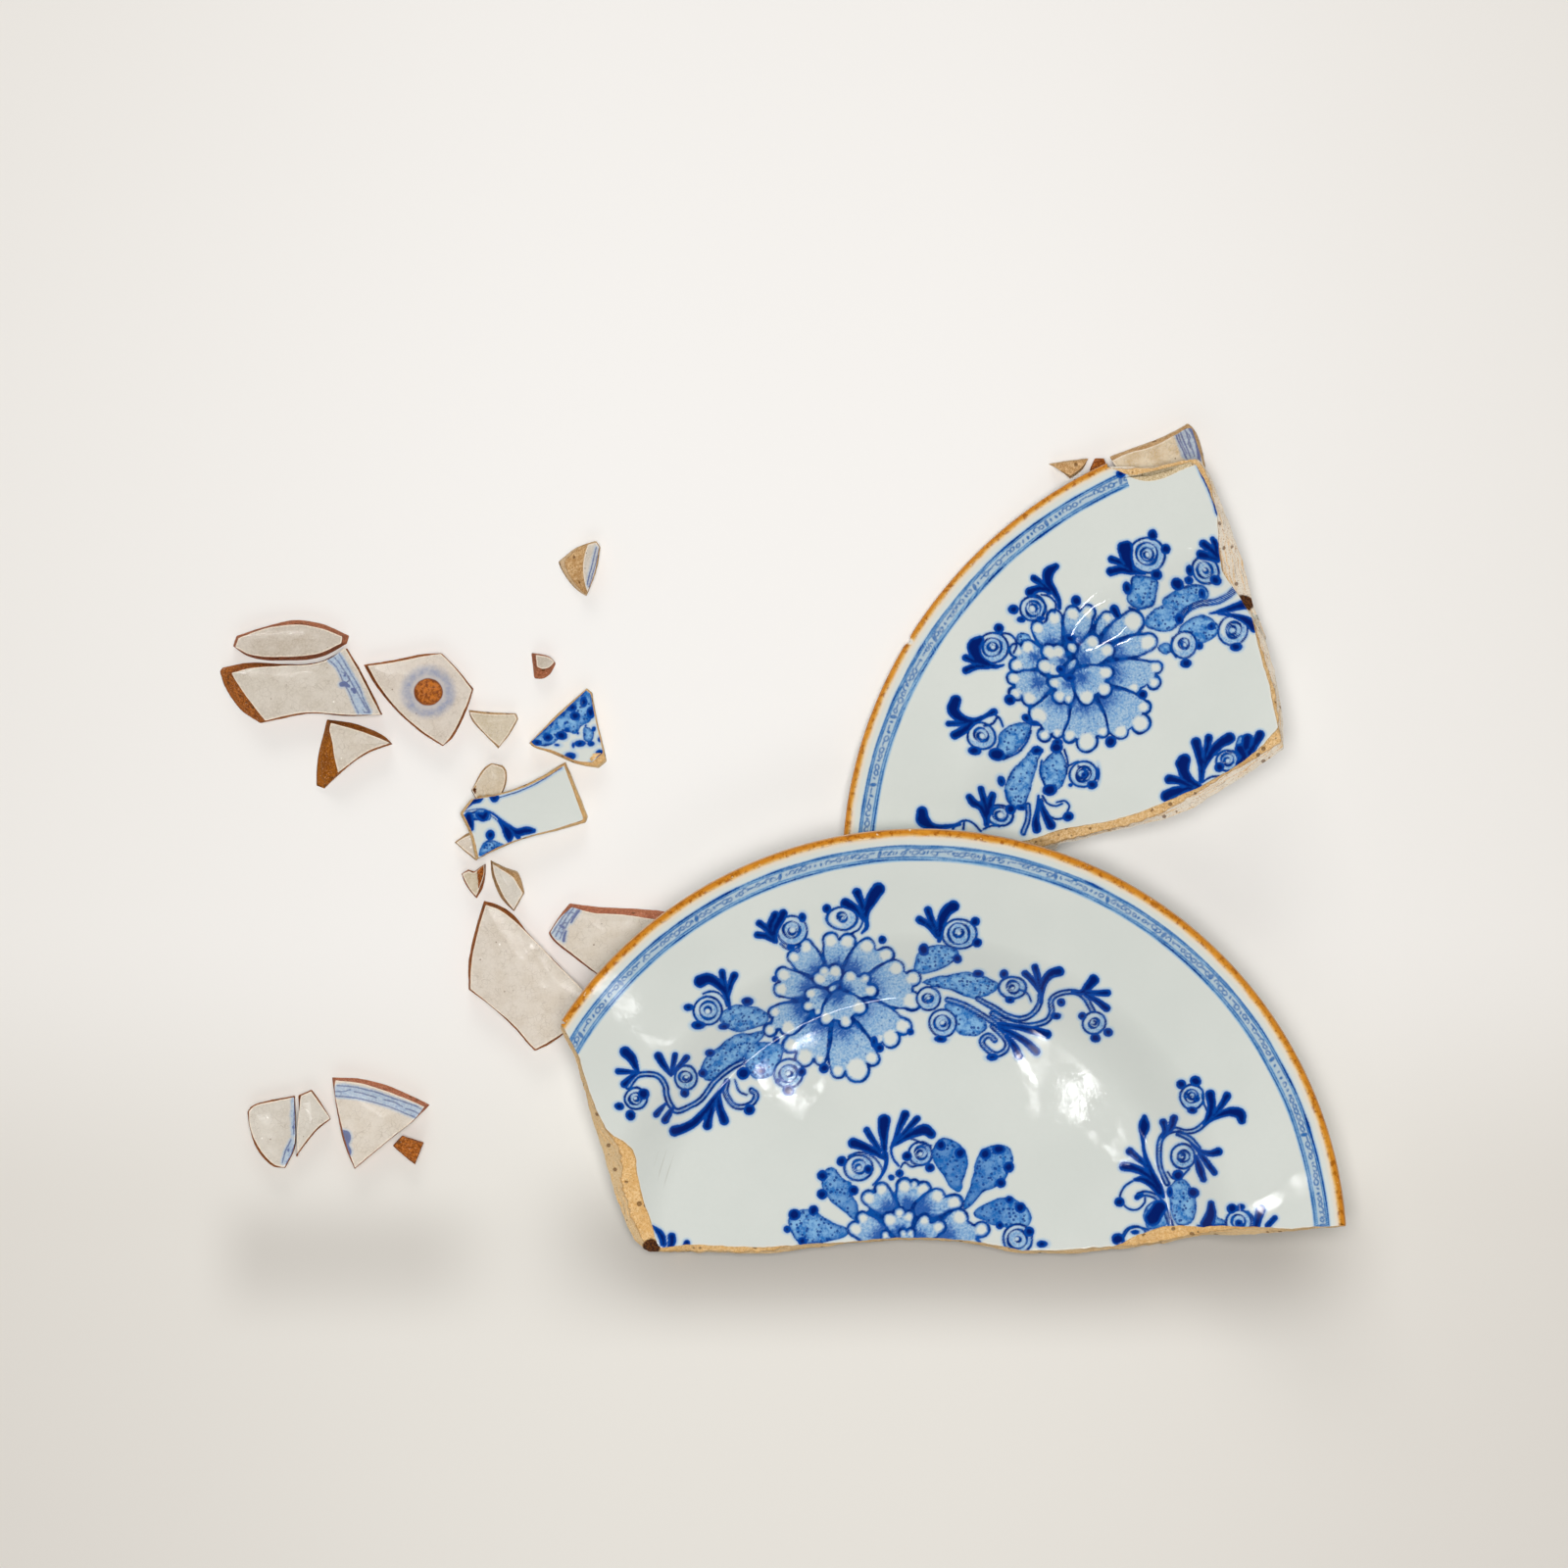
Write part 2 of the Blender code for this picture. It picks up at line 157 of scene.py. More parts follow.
board = bpy.data.materials.new("pale_painted_board")
board.use_nodes = True
tree = board.node_tree
shader = tree.nodes["Principled BSDF"]
where = add_node(tree, "ShaderNodeTexCoord").outputs["Object"]
split = add_node(tree, "ShaderNodeSeparateXYZ", {"Vector": where})
# painted shade: the board's colour is darker towards its near side and away from its middle
across = sums("ABSOLUTE", less(split.outputs[0], middle[0] / 1000))
down = less(split.outputs[1], 0.03)
near_side = ramp(down, -0.06, -0.19)
from_middle = ramp(across, 0.05, 0.42, 0.0, 0.55)
edge = plus(from_middle, ramp(sums("ABSOLUTE", down), 0.1, 0.5, 0.0, 0.3))
near_tone = blend(edge, painted(234, 230, 222), painted(213, 207, 199))
tone = blend(edge, painted(246, 243, 239), painted(228, 223, 215))
tone = blend(near_side, tone, near_tone)


def shadow_patch(left, right, lower, upper):
    """A patch of painted shadow on the board with soft sides; each side is where it starts and where it is
    full.
    """
    x, y = split.outputs[0], split.outputs[1]
    tall = times(ramp(y, *lower), ramp(y, *upper))
    return times(tall, times(ramp(x, *left), ramp(x, *right)))


# painted shadow: the board's colour is darkened in soft patches below the half and below the lowest small
# sherds, in place of their shadows
painted_shadow_under_half = shadow_patch((-0.125, -0.035), (0.262, 0.198), (-0.2155, -0.166), (-0.125, -0.168))
painted_shadow_under_left = shadow_patch((-0.245, -0.212), (-0.1, -0.155), (-0.21, -0.172), (-0.138, -0.17))
shade = plus(times(painted_shadow_under_half, 0.42), times(painted_shadow_under_left, 0.2))
tone = blend(shade, tone, (0.06, 0.025, 0.0, 1.0))
tree.links.new(tone, shader.inputs["Base Color"])
shader.inputs["Roughness"].default_value = 0.9
shader.inputs["Specular IOR Level"].default_value = 0.0

half_side, top_height = 3.0, -0.0009
steps = np.linspace(-half_side, half_side, 5)
across_top, along_top = np.meshgrid(steps, steps)
top_points = np.stack([across_top.ravel(), along_top.ravel(), np.full(25, top_height)], 1)
cell = np.arange(4)[:, None] * 5 + np.arange(4)[None, :]
top_faces = np.stack([cell, cell + 1, cell + 6, cell + 5], -1).reshape(-1, 4)
board_mesh = bpy.data.meshes.new("table_top")
board_mesh.from_pydata(top_points.tolist(), [], top_faces.tolist())
board_mesh.materials.append(board)
table_top = bpy.data.objects.new("table_top", board_mesh)
scene.collection.objects.link(table_top)


def lamp(name, place, target, size, watts, glints, turn=None):
    """A soft rectangular panel at place, in metres, shining on target, or, given its turn about
    the upright, straight down."""
    light = bpy.data.lights.new(name, "AREA")
    light.shape = "RECTANGLE"
    light.size, light.size_y = size
    light.energy = watts
    panel = bpy.data.objects.new(name, light)
    panel.location = place
    if turn is None:
        aim = Vector(target) - Vector(place)
        panel.rotation_euler = aim.to_track_quat("-Z", "Y").to_euler()
    else:
        panel.rotation_euler = (0.0, 0.0, turn)
    panel.visible_glossy = glints
    scene.collection.objects.link(panel)


heart = (middle[0] / 1000, middle[1] / 1000, 0.02)
lamp("sky_panel", (heart[0], heart[1], 2.7), heart, (1.3, 1.3), 54.0, False)
lamp("far_panel", (heart[0] - 0.3, heart[1] + 2.5, 1.1), heart, (1.5, 0.7), 17.0, False)
lamp("near_panel", (heart[0], heart[1] - 2.2, 1.9), heart, (2.2, 1.0), 10.0, False)
# each pane's place, width, height, turn and glow
for pane, (pane_x, pane_y, pane_z, wide, tall, turn, glow) in enumerate((
    (0.2215, -0.2215, 2.5, 0.008, 0.003, 0.0, 30.0), (0.202, -0.2315, 2.5, 0.013, 0.011, 0.0, 36.0),
    (0.2575, -0.2405, 2.5, 0.014, 0.009, 0.0, 40.0),
    (0.281, -0.279, 2.5, 0.006, 0.006, 0.0, 45.0), (0.018, -0.209, 2.5, 0.012, 0.008, 0.0, 40.0),
    (0.7, -0.895, 2.5, 0.03, 0.02, 0.0, 7.0), (-0.688, -0.524, 2.5, 0.013, 0.048, 0.49, 30.0),
    (0.3, -0.715, 2.5, 0.28, 0.03, 0.0, 45.0), (0.18, -0.8, 2.5, 0.02, 0.14, 0.0, 30.0),
    (0.55, -0.757, 2.5, 0.16, 0.02, -0.42, 30.0), (-0.455, -0.545, 5.0, 0.62, 0.04, -0.65, 45.0),
)):
    place, bright = (pane_x, pane_y, pane_z), glow * math.pi * wide * tall
    lamp(f"window_pane_{pane + 1}", place, place, (wide, tall), bright, True, turn)

sky = bpy.data.worlds.new("studio_sky")
scene.world = sky
sky.use_nodes = True
tree = sky.node_tree
backdrop = tree.nodes["Background"]
outward = add_node(tree, "ShaderNodeTexCoord").outputs["Generated"]
rise = add_node(tree, "ShaderNodeSeparateXYZ", {"Vector": outward})
height = ramp(rise.outputs[2], 0.15, 0.85)
seen = add_node(tree, "ShaderNodeLightPath").outputs["Is Camera Ray"]
room = blend(height, (0.3, 0.3, 0.3, 1.0), (0.04, 0.04, 0.04, 1.0))
tree.links.new(blend(seen, room, painted(238, 235, 230)), backdrop.inputs["Color"])
backdrop.inputs["Strength"].default_value = 1.0

eye = bpy.data.cameras.new("camera")
eye.sensor_width = 36.0
eye.lens = 138.8
eye.clip_end = 20.0
camera = bpy.data.objects.new("camera", eye)
camera.location = (0.0016, 0.0226, 2.5)
scene.collection.objects.link(camera)
scene.camera = camera


# --------------------------------------------------------------------
# The half of the dish. Buff earthenware thrown and turned, dipped in white tin glaze, painted
# in cobalt blue with a brush, with an ochre line on the rim, and fired. It broke across the
# well, and flakes of glaze came off beside the breaks.

# The rim's radius, the radius of its round edge, the wall and the glaze's edge over it
RIM, ROUND, WALL, SKIN = 175.1, 2.2, 5.6, 0.5
# How far from the dish's axis the glaze's face and the body's section start at the rim
FACE_START, BODY_START = 172.6, 173.4

# The glaze's edge along the break, from the left end on the rim to the right one, and the
# break's foot below it, from the dish's axis
HALF_GLAZE_EDGE = [
    (-145.8, 95.4), (-143.4, 91.6), (-138.7, 82.3), (-136.7, 75.1), (-133.9, 66.6), (-130.4, 57.7),
    (-128, 52.8), (-124.4, 49.2), (-120.4, 47.1), (-116.9, 43.7), (-115.3, 39.2), (-114.6, 31),
    (-113.4, 24.4), (-110.2, 15.4), (-109, 11.3), (-108.2, 6.9), (-106.6, 3.2), (-105.4, 2.4),
    (-93.7, 4), (-79.2, 3.2), (-62.7, 2.6), (-53.8, 3.2), (-40.9, 4.4), (-30, 4.8), (-19.5, 5.7),
    (-6.6, 6.6), (3.9, 6.6), (13.2, 6), (26.1, 4.8), (36.6, 2.6), (43.5, 1.3), (58, 1.7),
    (64.4, 1.9), (80.2, 3), (84.6, 4.4), (90.3, 7.6), (95.5, 9.2), (101.1, 11.2), (108.3, 11.5),
    (117.3, 11.2), (124.2, 12.4), (135.5, 12.3), (145.4, 12), (152.5, 11.7), (162.3, 12.7),
    (174.2, 13.3),
]
HALF_FOOT_EDGE = [
    (-146.4, 93.5), (-144.6, 90), (-140.5, 81), (-138.6, 74.5), (-136, 65), (-133.4, 56.5),
    (-131.8, 51.5), (-130.3, 46.5), (-128.8, 41), (-127.4, 35.6), (-125.6, 30), (-123.6, 23.5),
    (-121.6, 17.5), (-119.6, 11.5), (-118, 8), (-116, 5), (-112.5, 1.4), (-110.5, 0.2),
    (-93.5, -0.1), (-79.2, -0.3), (-62, -0.5), (-53.8, 0.4), (-41, 2), (-30, 3.6), (-20, 4.5),
    (-6.6, 5.2), (3.9, 5.4), (15, 4.5), (26, 3), (37, 0.8), (45.5, -0.5), (58, -0.5),
    (63, -0.4), (78.5, 1.2), (84.5, 1.6), (91.5, 2.3), (97, 2.8), (102, 3.6), (109, 5.4),
    (116.5, 7.2), (124.5, 8), (135, 8.6), (146, 9.4), (154, 10), (163, 11.4), (174.3, 12.6),
]

HALF_BEDS = [
    (-33.6, 105.3, 16.8), (-34.9, 108.6, 8), (-5.8, 13.2, 12), (-12.6, 10, 11.2), (4.7, 10.8, 11.2),
]
HALF_PETALS = [
    [(-41.3, 116, 3.1), (-51.1, 122.5, 2.6), (-46.2, 126.9, 3)],
    [(-32.8, 118.3, 3.9), (-35.8, 129.2, 3.2), (-28.8, 128.9, 3.2)],
    [(-26.5, 116.7, 3.1), (-21, 126.8, 3.2), (-13.1, 123.3, 3.2)],
    [(-20.2, 109.5, 3.2), (-8.9, 117.6, 3.1), (-2.1, 113.3, 3.2), (-2.3, 104, 3.9)],
    [(-24.9, 101.7, 3.5), (-5.7, 93.4, 3.5), (-11.1, 88.5, 3.9), (-15.9, 88.5, 1.9)],
    [(-31.9, 94.6, 3.5), (-32.7, 74.9, 2.8), (-24.9, 75.7, 5), (-18.8, 80.3, 3)],
    [(-40.1, 95.4, 3.2), (-40.1, 79.6, 2.3), (-46.6, 80.7, 3.9), (-52.5, 85.8, 3.1)],
    [(-47.5, 100.1, 3), (-53.4, 92.9, 3.1), (-60.7, 92.1, 2.8), (-58.9, 99.4, 2.5)],
    [(-45.2, 109.7, 3.2), (-56.2, 109.1, 3), (-55.2, 115.1, 3.1)],
    [(-33.9, 110.8, 2.3), (-40.6, 113.5, 2.8), (-38.4, 116.4, 2.5), (-34, 116.7, 2.8)],
    [(-29.7, 108.3, 2.6), (-27.6, 114, 2.5), (-21.8, 113.4, 2.3), (-19.2, 108.2, 2.8)],
    [(-37.5, 106.4, 2.2), (-44, 107.1, 2.3), (-45, 101.9, 2.5), (-41.3, 99.3, 1.7)],
    [(-32.7, 105.5, 2.6), (-37.7, 96.6, 2.8), (-29.5, 95.5, 2.8), (-23.9, 101.2, 3)],
    [(-32.9, 110.5, 1.2), (-35.7, 109, 1.4)],
    [(-3.6, 19.9, 4.1), (-5.5, 27.9, 3.2), (-1.4, 28.3, 2), (2.5, 26.3, 3.2)],
    [(-11.3, 17.9, 3), (-20.1, 23, 3), (-14.9, 26.5, 2.8)],
    [(2, 17.9, 3), (8.5, 23.4, 3), (15.4, 21, 3.2)],
    [(10.7, 6.6, 4.1), (17.5, 15, 3.2), (26.3, 9.9, 3.2), (23, 3.5, 2.8)],
    [(-14.9, 6.6, 3.7), (-25.6, 10.1, 3), (-22.6, 14.6, 2.6)],
    [(1, 6.6, 3.2), (3.1, 13.8, 2.4), (8.9, 11.1, 2.8)],
    [(-6.9, 9.1, 3), (-11.3, 14, 3), (-7.3, 16.6, 2.6), (-3.4, 15.2, 2.4)],
    [(-4.3, 4.5, 2.6), (-5.9, 8.4, 1.8), (-2.8, 8.6, 1.8)], [(-12.7, 5.1, 2.2), (-13.1, 7.4, 2)],
]
HALF_LEAVES = [
    [(1.8, 111.4), (7.5, 114.2), (13.1, 114.9), (19, 116.1), (24.7, 115.2), (32.8, 111.6), (30.9, 107.4),
     (23.8, 105), (17.6, 106.5), (12.4, 108.5)],
    [(-1.4, 115.5), (-1.1, 121.6), (2, 125.7), (8.4, 127.3), (15.7, 125.7), (16.6, 122), (11.8, 118.3),
     (5.4, 115.9)],
    [(11.2, 102), (16.8, 102.8), (23.3, 98.8), (28.9, 93.9), (25.7, 90.3), (19.2, 89.9), (14, 93.9)],
    [(-61.8, 99), (-67.1, 101.9), (-75.1, 102.6), (-81.1, 98.4), (-79.1, 93.5), (-74.3, 91.3),
     (-67.9, 92.5), (-62.3, 94.9)],
    [(-61.9, 91.6), (-68.7, 90.8), (-75.2, 89.7), (-82.4, 85.3), (-87.8, 79.9), (-89.5, 74.8),
     (-86.4, 71.1), (-80.7, 73.8), (-74.7, 78.5), (-67.9, 84.3)],
    [(-69.5, 85.9), (-62.3, 87.1), (-55.8, 85.9), (-55.8, 80.2), (-59.8, 73.8), (-66.3, 71.8),
     (-70.3, 75.4), (-71.1, 81.1)],
    [(-39.7, 31), (-36.9, 35.4), (-33.2, 34.6), (-30, 30.2), (-27.2, 29.4), (-26.4, 23.7), (-24.3, 18.5),
     (-25.5, 13.6), (-30.4, 17.3), (-35.2, 21.3), (-38.5, 25.8)],
    [(-53.4, 12.8), (-50.2, 17), (-43.3, 17.9), (-37.7, 14.5), (-32.8, 12), (-28.4, 9.6), (-30.8, 6.6),
     (-39.7, 4.4), (-49.4, 4.8)],
    [(6.7, 44.3), (10.8, 47.7), (16, 45.7), (19.6, 41.9), (20.5, 37.1), (18.8, 30.2), (17.2, 25.3),
     (13.6, 27.4), (10.4, 32.2), (6.7, 37.5)],
    [(21.7, 27.8), (23.1, 34.2), (24.7, 39.5), (27.3, 43.1), (33.2, 45.1), (37.8, 43.1), (39, 38.3),
     (37.4, 34.2), (35.8, 29.2), (32.2, 27.2), (27.1, 24.9), (23.3, 20.9), (19.6, 18.1), (18.8, 20.5)],
    [(23.5, 17.3), (27.1, 19.9), (32.2, 22.1), (37.4, 23.1), (42.4, 20.9), (46.1, 17.9), (46.7, 13.6),
     (43.5, 10.6), (37.4, 10.6), (32.2, 11.6), (27.1, 13.6), (24.1, 15.3)],
    [(106.3, 30.7), (110.2, 30.4), (112.6, 27.3), (114.1, 22), (114.2, 16), (111.9, 12.6), (107.2, 11.5),
     (104.8, 15.7), (103.6, 21.7), (103.5, 27)],
    [(93.5, 18.9), (97.5, 21.7), (101.5, 19.7), (103.2, 14.5), (101.5, 10.8), (95.1, 10), (93.1, 14.1)],
    [(116.5, 12), (117.7, 16.1), (121.1, 18.7), (123.1, 15.1), (128.9, 13)],
]
HALF_STEMS = [
    [(-71.9, 79), (-78, 75.4), (-83.5, 70.8), (-89, 63.6), (-94.5, 60.4), (-98.9, 58.8), (-101.6, 61.2),
     (-103.3, 65.7), (-103.7, 69.6), (-106.4, 73.6), (-110.8, 74.7), (-115.2, 73.7), (-118.8, 69.3)],
    [(25, 105), (32.1, 100.8), (36.9, 97.9), (42.2, 96.7), (47.4, 98.5), (50, 102.7), (50.2, 106.2)],
    [(30.9, 98.8), (36.9, 95.6), (42.8, 94.1), (48.7, 94), (53.4, 96.1), (55, 99.8), (54.7, 104),
     (57.2, 106.7), (61.8, 108), (65.9, 107.4), (68.9, 104.8), (71.6, 99.9)],
    [(12.4, 104.4), (19.1, 102.4), (25, 99.1), (30.5, 95.6), (35.4, 92.3)],
    [(30.9, 93.7), (36.6, 87.9), (36.3, 83.7), (32.1, 81.9), (27.4, 84.9), (26.5, 87.8), (29.2, 89.9),
     (31.7, 87.9)],
    [(-78.6, 70.8), (-79.1, 66.3), (-76.4, 61.7), (-72.5, 60.3), (-68.1, 61.9), (-66.4, 65.2),
     (-68.3, 67.1)],
    [(104.4, 11.2), (102.8, 15.7), (101.1, 19.7), (98.3, 23.3), (94.3, 24.7), (91.1, 24.1)],
    [(102.7, 29), (99.9, 35), (99.3, 41.1), (99.8, 46.8), (102.2, 50.1), (106, 51.3), (109.9, 50.4),
     (113.8, 51.4), (116.8, 53.9), (119.6, 56.4)], [(107.2, 49.9), (111.5, 47.6), (114.7, 44)],
]
HALF_ROSES = [
    (-51.6, 133.3, 6.1, 6.1, [3.4], 1.6), (-31.2, 138.3, 6.3, 4.7, [1.9], 0.8),
    (16.8, 131.8, 7.2, 6.1, [4.4, 2], 1.2), (-86.2, 100.5, 5.8, 5.8, [3.6], 1.5),
    (-115.6, 64.6, 4.4, 4.4, [2.4], 1), (-95.2, 72.7, 4.4, 5.2, [2.4], 1), (-53.1, 74.1, 6, 6, [3.6], 1.4),
    (38.8, 109.6, 5.6, 4.6, [2.6], 1), (72.3, 95.2, 4.6, 4.6, [2], 0.8),
    (10.5, 94.9, 5.6, 5.6, [3.2], 1.2), (4.5, 105, 4.8, 4.8, [2], 1),
    (112.2, 65.1, 4.8, 5, [2.6, 1.4], 0.6), (108.9, 40.2, 4.6, 5.2, [2.4, 1.4], 0.7),
    (-24.3, 35.3, 5.8, 5.2, [2.8], 1.2), (1.2, 41.1, 4.8, 4.8, [2.6], 1.2), (41.2, 6, 6, 6, [4], 1.2),
    (89.4, 6.6, 5, 4.6, [], 0), (131.2, 13.8, 5, 5, [2.6], 0),
]
HALF_LINES = [
    [(-56.6, 127.8), (-54.6, 126), (-51.4, 125.4), (-48.2, 127)],
    [(-28.1, 142.7), (-24.5, 141.1), (-22.7, 137.5), (-24.1, 133.8), (-27.7, 132.2)],
    [(116.3, 66.4), (117.3, 62), (119.2, 57.6)],
    [(88.6, 29.8), (85, 27.4), (83.4, 23.3), (85.8, 19.1), (89.9, 17.9), (93.1, 20.5), (93.5, 22.9)],
    [(106.1, 49.2), (110.7, 47.2), (113.5, 44), (115.9, 41.2)],
    [(103.1, 33.5), (105.1, 31.1), (108.6, 32), (111.3, 34.9)],
    [(115, 11.9), (120.4, 11.8), (126.5, 12.7)],
    [(-28.4, 39.9), (-25.1, 41.5), (-21.7, 41.5), (-17.9, 39.5), (-15.5, 36.6), (-14.4, 33.8),
     (-15.5, 31), (-18.3, 28.2)], [(-9.8, 45.9), (-5.8, 47.1), (-1.7, 47.1), (2.3, 45.1), (5.5, 44.3)],
    [(-7, 35.4), (-5.4, 37.5), (-2.5, 35.8), (0.3, 36.2)],
    [(-88, 107.4), (-85.1, 108.4), (-81.9, 107.7), (-79.5, 105.3), (-78.3, 102.1)],
    [(-36, 93.1), (-36.8, 85.9), (-36.4, 78.2)], [(84.6, 6.4), (87, 10), (91.1, 10.8), (95.1, 9.6)],
    [(41.6, 109), (44.9, 107.4), (46.6, 103.7)], [(134.7, 18.3), (137.1, 15.5), (137.1, 12.3)],
    [(-75.3, 71.4), (-73.6, 66.9), (-70.3, 65.3)],
]
HALF_COMMAS = [
    [(-55.4, 140.3, 2), (-57.4, 136.3, 2), (-59, 132.3, 1.6), (-58.2, 128.6, 1)],
    [(-58.8, 139.7, 1.9), (-60.6, 135.1, 1.6), (-59.4, 131.1, 1.4)],
    [(-65, 136.3, 1.7), (-61.8, 133.7, 1.4), (-59, 130.3, 1.3)],
    [(-65.8, 131.5, 1.6), (-62.6, 130.9, 1.4), (-59, 129.2, 1.4)],
    [(-16.5, 150.3, 3), (-18.9, 146.7, 2.8), (-20.9, 141.9, 1.8), (-21.3, 137.1, 1)],
    [(-25.2, 148.9, 2), (-23.3, 144.3, 1.5), (-21.7, 138.7, 1)],
    [(-29.9, 144.5, 2.2), (-26.1, 142.3, 1.8), (-22.1, 137.9, 1)],
    [(-21.3, 137.9, 1), (-20.9, 134.6, 1), (-22.9, 132.2, 0.6)],
    [(0.6, 137.8, 1.8), (4, 135.4, 1.4), (7.6, 131, 1.2)],
    [(4.1, 141.7, 1.8), (5.6, 137.4, 1.5), (8, 131.4, 1.2)],
    [(14.4, 143.3, 2.5), (11.4, 141.1, 2.4), (9.2, 135.8, 2), (8.6, 129, 1)],
    [(-89.3, 112.4, 2.8), (-85.9, 113.6, 2.4), (-81.9, 111.4, 2), (-78.7, 107.3, 1.4), (-77.1, 100.8, 0.7)],
    [(-80.3, 116.2, 1.6), (-79.5, 112.2, 1.3), (-78.3, 107.7, 1.2)],
    [(-75.4, 114.8, 1.8), (-76.7, 111.4, 1.4), (-77.9, 107.3, 1.2)],
    [(-106.4, 81.9, 2), (-104.4, 78.4, 1.6), (-101.2, 73.9, 0.8)],
    [(-99.6, 82.4, 1.4), (-100.4, 78.3, 1.2), (-101.2, 73.9, 0.8)],
    [(-94.9, 81.1, 1.6), (-97.6, 77.9, 1.2), (-100.8, 74.3, 0.8)],
    [(-119.9, 83.8, 2.5), (-117.5, 81.3, 2.2), (-116, 78.1, 1.6), (-114.6, 75.3, 0.8)],
    [(-122.7, 75.7, 1.4), (-119.2, 75.5, 1.2), (-115.2, 75.1, 0.8)],
    [(-120.4, 70.5, 1.7), (-118, 72.9, 1.3), (-115.2, 74.7, 0.8)],
    [(-99.9, 50.5, 2.4), (-96.1, 51.6, 2.2), (-91.7, 54, 2), (-86.9, 59.2, 1.7), (-82, 65.7, 1.2),
     (-78.6, 71.4, 0.6)], [(-86.6, 52.5, 2), (-85.7, 56.8, 1.6), (-83.6, 62.5, 1.2)],
    [(-79.6, 54.8, 2.2), (-81.2, 59.2, 1.8), (-82, 64.9, 1.2)],
    [(-107.3, 57.7, 1.6), (-105.7, 59.7, 1.3), (-103.7, 61.9, 0.7)],
    [(-103.7, 55.1, 1.8), (-102.1, 57.9, 1.4), (-100.5, 60.3, 0.7)],
    [(43.9, 115.6, 1.6), (46.7, 112.8, 1.4), (50, 107.9, 1)],
    [(47.8, 118.3, 1.6), (49.1, 114.4, 1.4), (50.2, 108.7, 1)],
    [(57.8, 116.5, 2.2), (54.2, 115.3, 2), (51.5, 111.6, 1.6), (50.5, 103.4, 0.7)],
    [(71.7, 113.1, 2.4), (69.4, 110.5, 2), (66.7, 107.8, 1.2), (63.1, 108, 0.7)],
    [(77.5, 107.9, 1.6), (73.4, 107.7, 1.4), (67.9, 107.7, 1)],
    [(77.1, 101.6, 1.8), (73.1, 104.4, 1.4), (68.3, 107, 1)],
    [(53.4, 90.3, 2), (48.7, 91.5, 1.8), (41.8, 93.1, 1.4), (33.8, 94.3, 1.2)],
    [(49, 83, 1.8), (44.7, 87.1, 1.6), (39.4, 90.3, 1.4), (33.8, 93.1, 1)],
    [(41.8, 81.3, 1.8), (39.8, 85.5, 1.5), (36.6, 89.5, 1)],
    [(93.2, 56.1, 1.2), (93.1, 52.4, 2.5), (92.7, 48.8, 1.4), (92.7, 45.1, 0.8), (93.9, 39.1, 1.1),
     (96.3, 32.6, 1.6), (99.5, 27, 1.8), (101.1, 23.3, 0.8)],
    [(87.4, 41.9, 1.8), (90.7, 39.1, 1.4), (93.5, 36.6, 1.1), (96.3, 32.2, 1.2)],
    [(85, 35.8, 2), (89.4, 35, 1.9), (93.5, 33, 1.6), (98.3, 28.6, 1.4)],
    [(89.4, 30.4, 0.8), (92.7, 30.6, 1.6), (96.3, 28.6, 1.8), (99.9, 24.9, 1.6)],
    [(119.5, 66.4, 2.1), (120.1, 61.6, 1.8), (119.2, 57.2, 1.7), (117.2, 53.9, 0.8)],
    [(126.2, 65.7, 1.8), (124.3, 62.5, 1.4), (121.1, 57.6, 1)],
    [(132.4, 55.7, 1.8), (131.4, 58.5, 2.4), (127.1, 59.3, 2), (122.7, 57.6, 1.4), (118.8, 55.1, 0.8)],
    [(100.9, 54.2, 1.7), (101.6, 50.9, 1.2), (100.6, 48.1, 0.8)],
    [(105.2, 56, 1.8), (104.1, 52.2, 1.4), (102.2, 49.7, 0.8)],
    [(122.8, 42.7, 1.9), (119.3, 41.8, 1.4), (115.5, 42.8, 1), (112.3, 45.6, 0.6)],
    [(121.4, 34.1, 1.4), (118.6, 37.7, 1.5), (115.5, 41.6, 1)],
    [(117.1, 31.1, 1.4), (115.6, 35.1, 1.8), (113.9, 40.3, 1)],
    [(139.9, 19.2, 2.1), (139.1, 15.5, 1.8), (138.3, 11.9, 1.6)], [(145.8, 15.7, 1.4), (143, 12.8, 1.3)],
    [(120.3, 21.1, 1.4), (120.3, 17, 2.2), (118.8, 12.5, 2.8)], [(99.5, 18.9, 3.2), (96.7, 14.5, 3.4)],
    [(90.3, 23.1, 1.3), (92.3, 24.3, 0.8)],
    [(-26.6, 45.5, 2.4), (-22.7, 44.3, 2), (-17.9, 41.9, 1.6), (-13.8, 39.2, 0.8)],
    [(-21, 50.8, 1.5), (-18.7, 47.1, 1.4), (-15.5, 42.3, 1)],
    [(-13.8, 54.8, 2.8), (-14.2, 50.8, 2.4), (-13.8, 45.5, 1.6), (-13.4, 39.9, 0.8)],
    [(-5.2, 57.2, 2), (-7, 53.2, 1.6), (-9.8, 45.9, 0.8)],
    [(-0.3, 55.4, 1.6), (-3.8, 51.6, 1.3), (-9.4, 45.5, 0.8)],
    [(5.7, 49, 2.1), (2.7, 51, 2.4), (-2.5, 49.2, 1.8), (-9.4, 45.1, 1)],
    [(-13.4, 41.1, 1.3), (-12.8, 38.3, 1), (-13.4, 35, 0.9), (-14.7, 32.2, 0.7), (-17.5, 29, 0.4)],
    [(-9.8, 45.5, 1.1), (-10.8, 43.1, 0.7), (-10.2, 39.5, 0.6), (-7.8, 36.2, 0.6)],
    [(-109, 11.3, 0.5), (-107, 9.2, 1.2), (-105.4, 6.8, 1.6), (-104.6, 3.6, 1.4)],
    [(-101.2, 6.8, 1.8), (-101, 4.8, 1.8), (-101.8, 2.4, 1.4)], [(-94.9, 4.2, 1.5), (-95.3, 3.2, 1.4)],
]
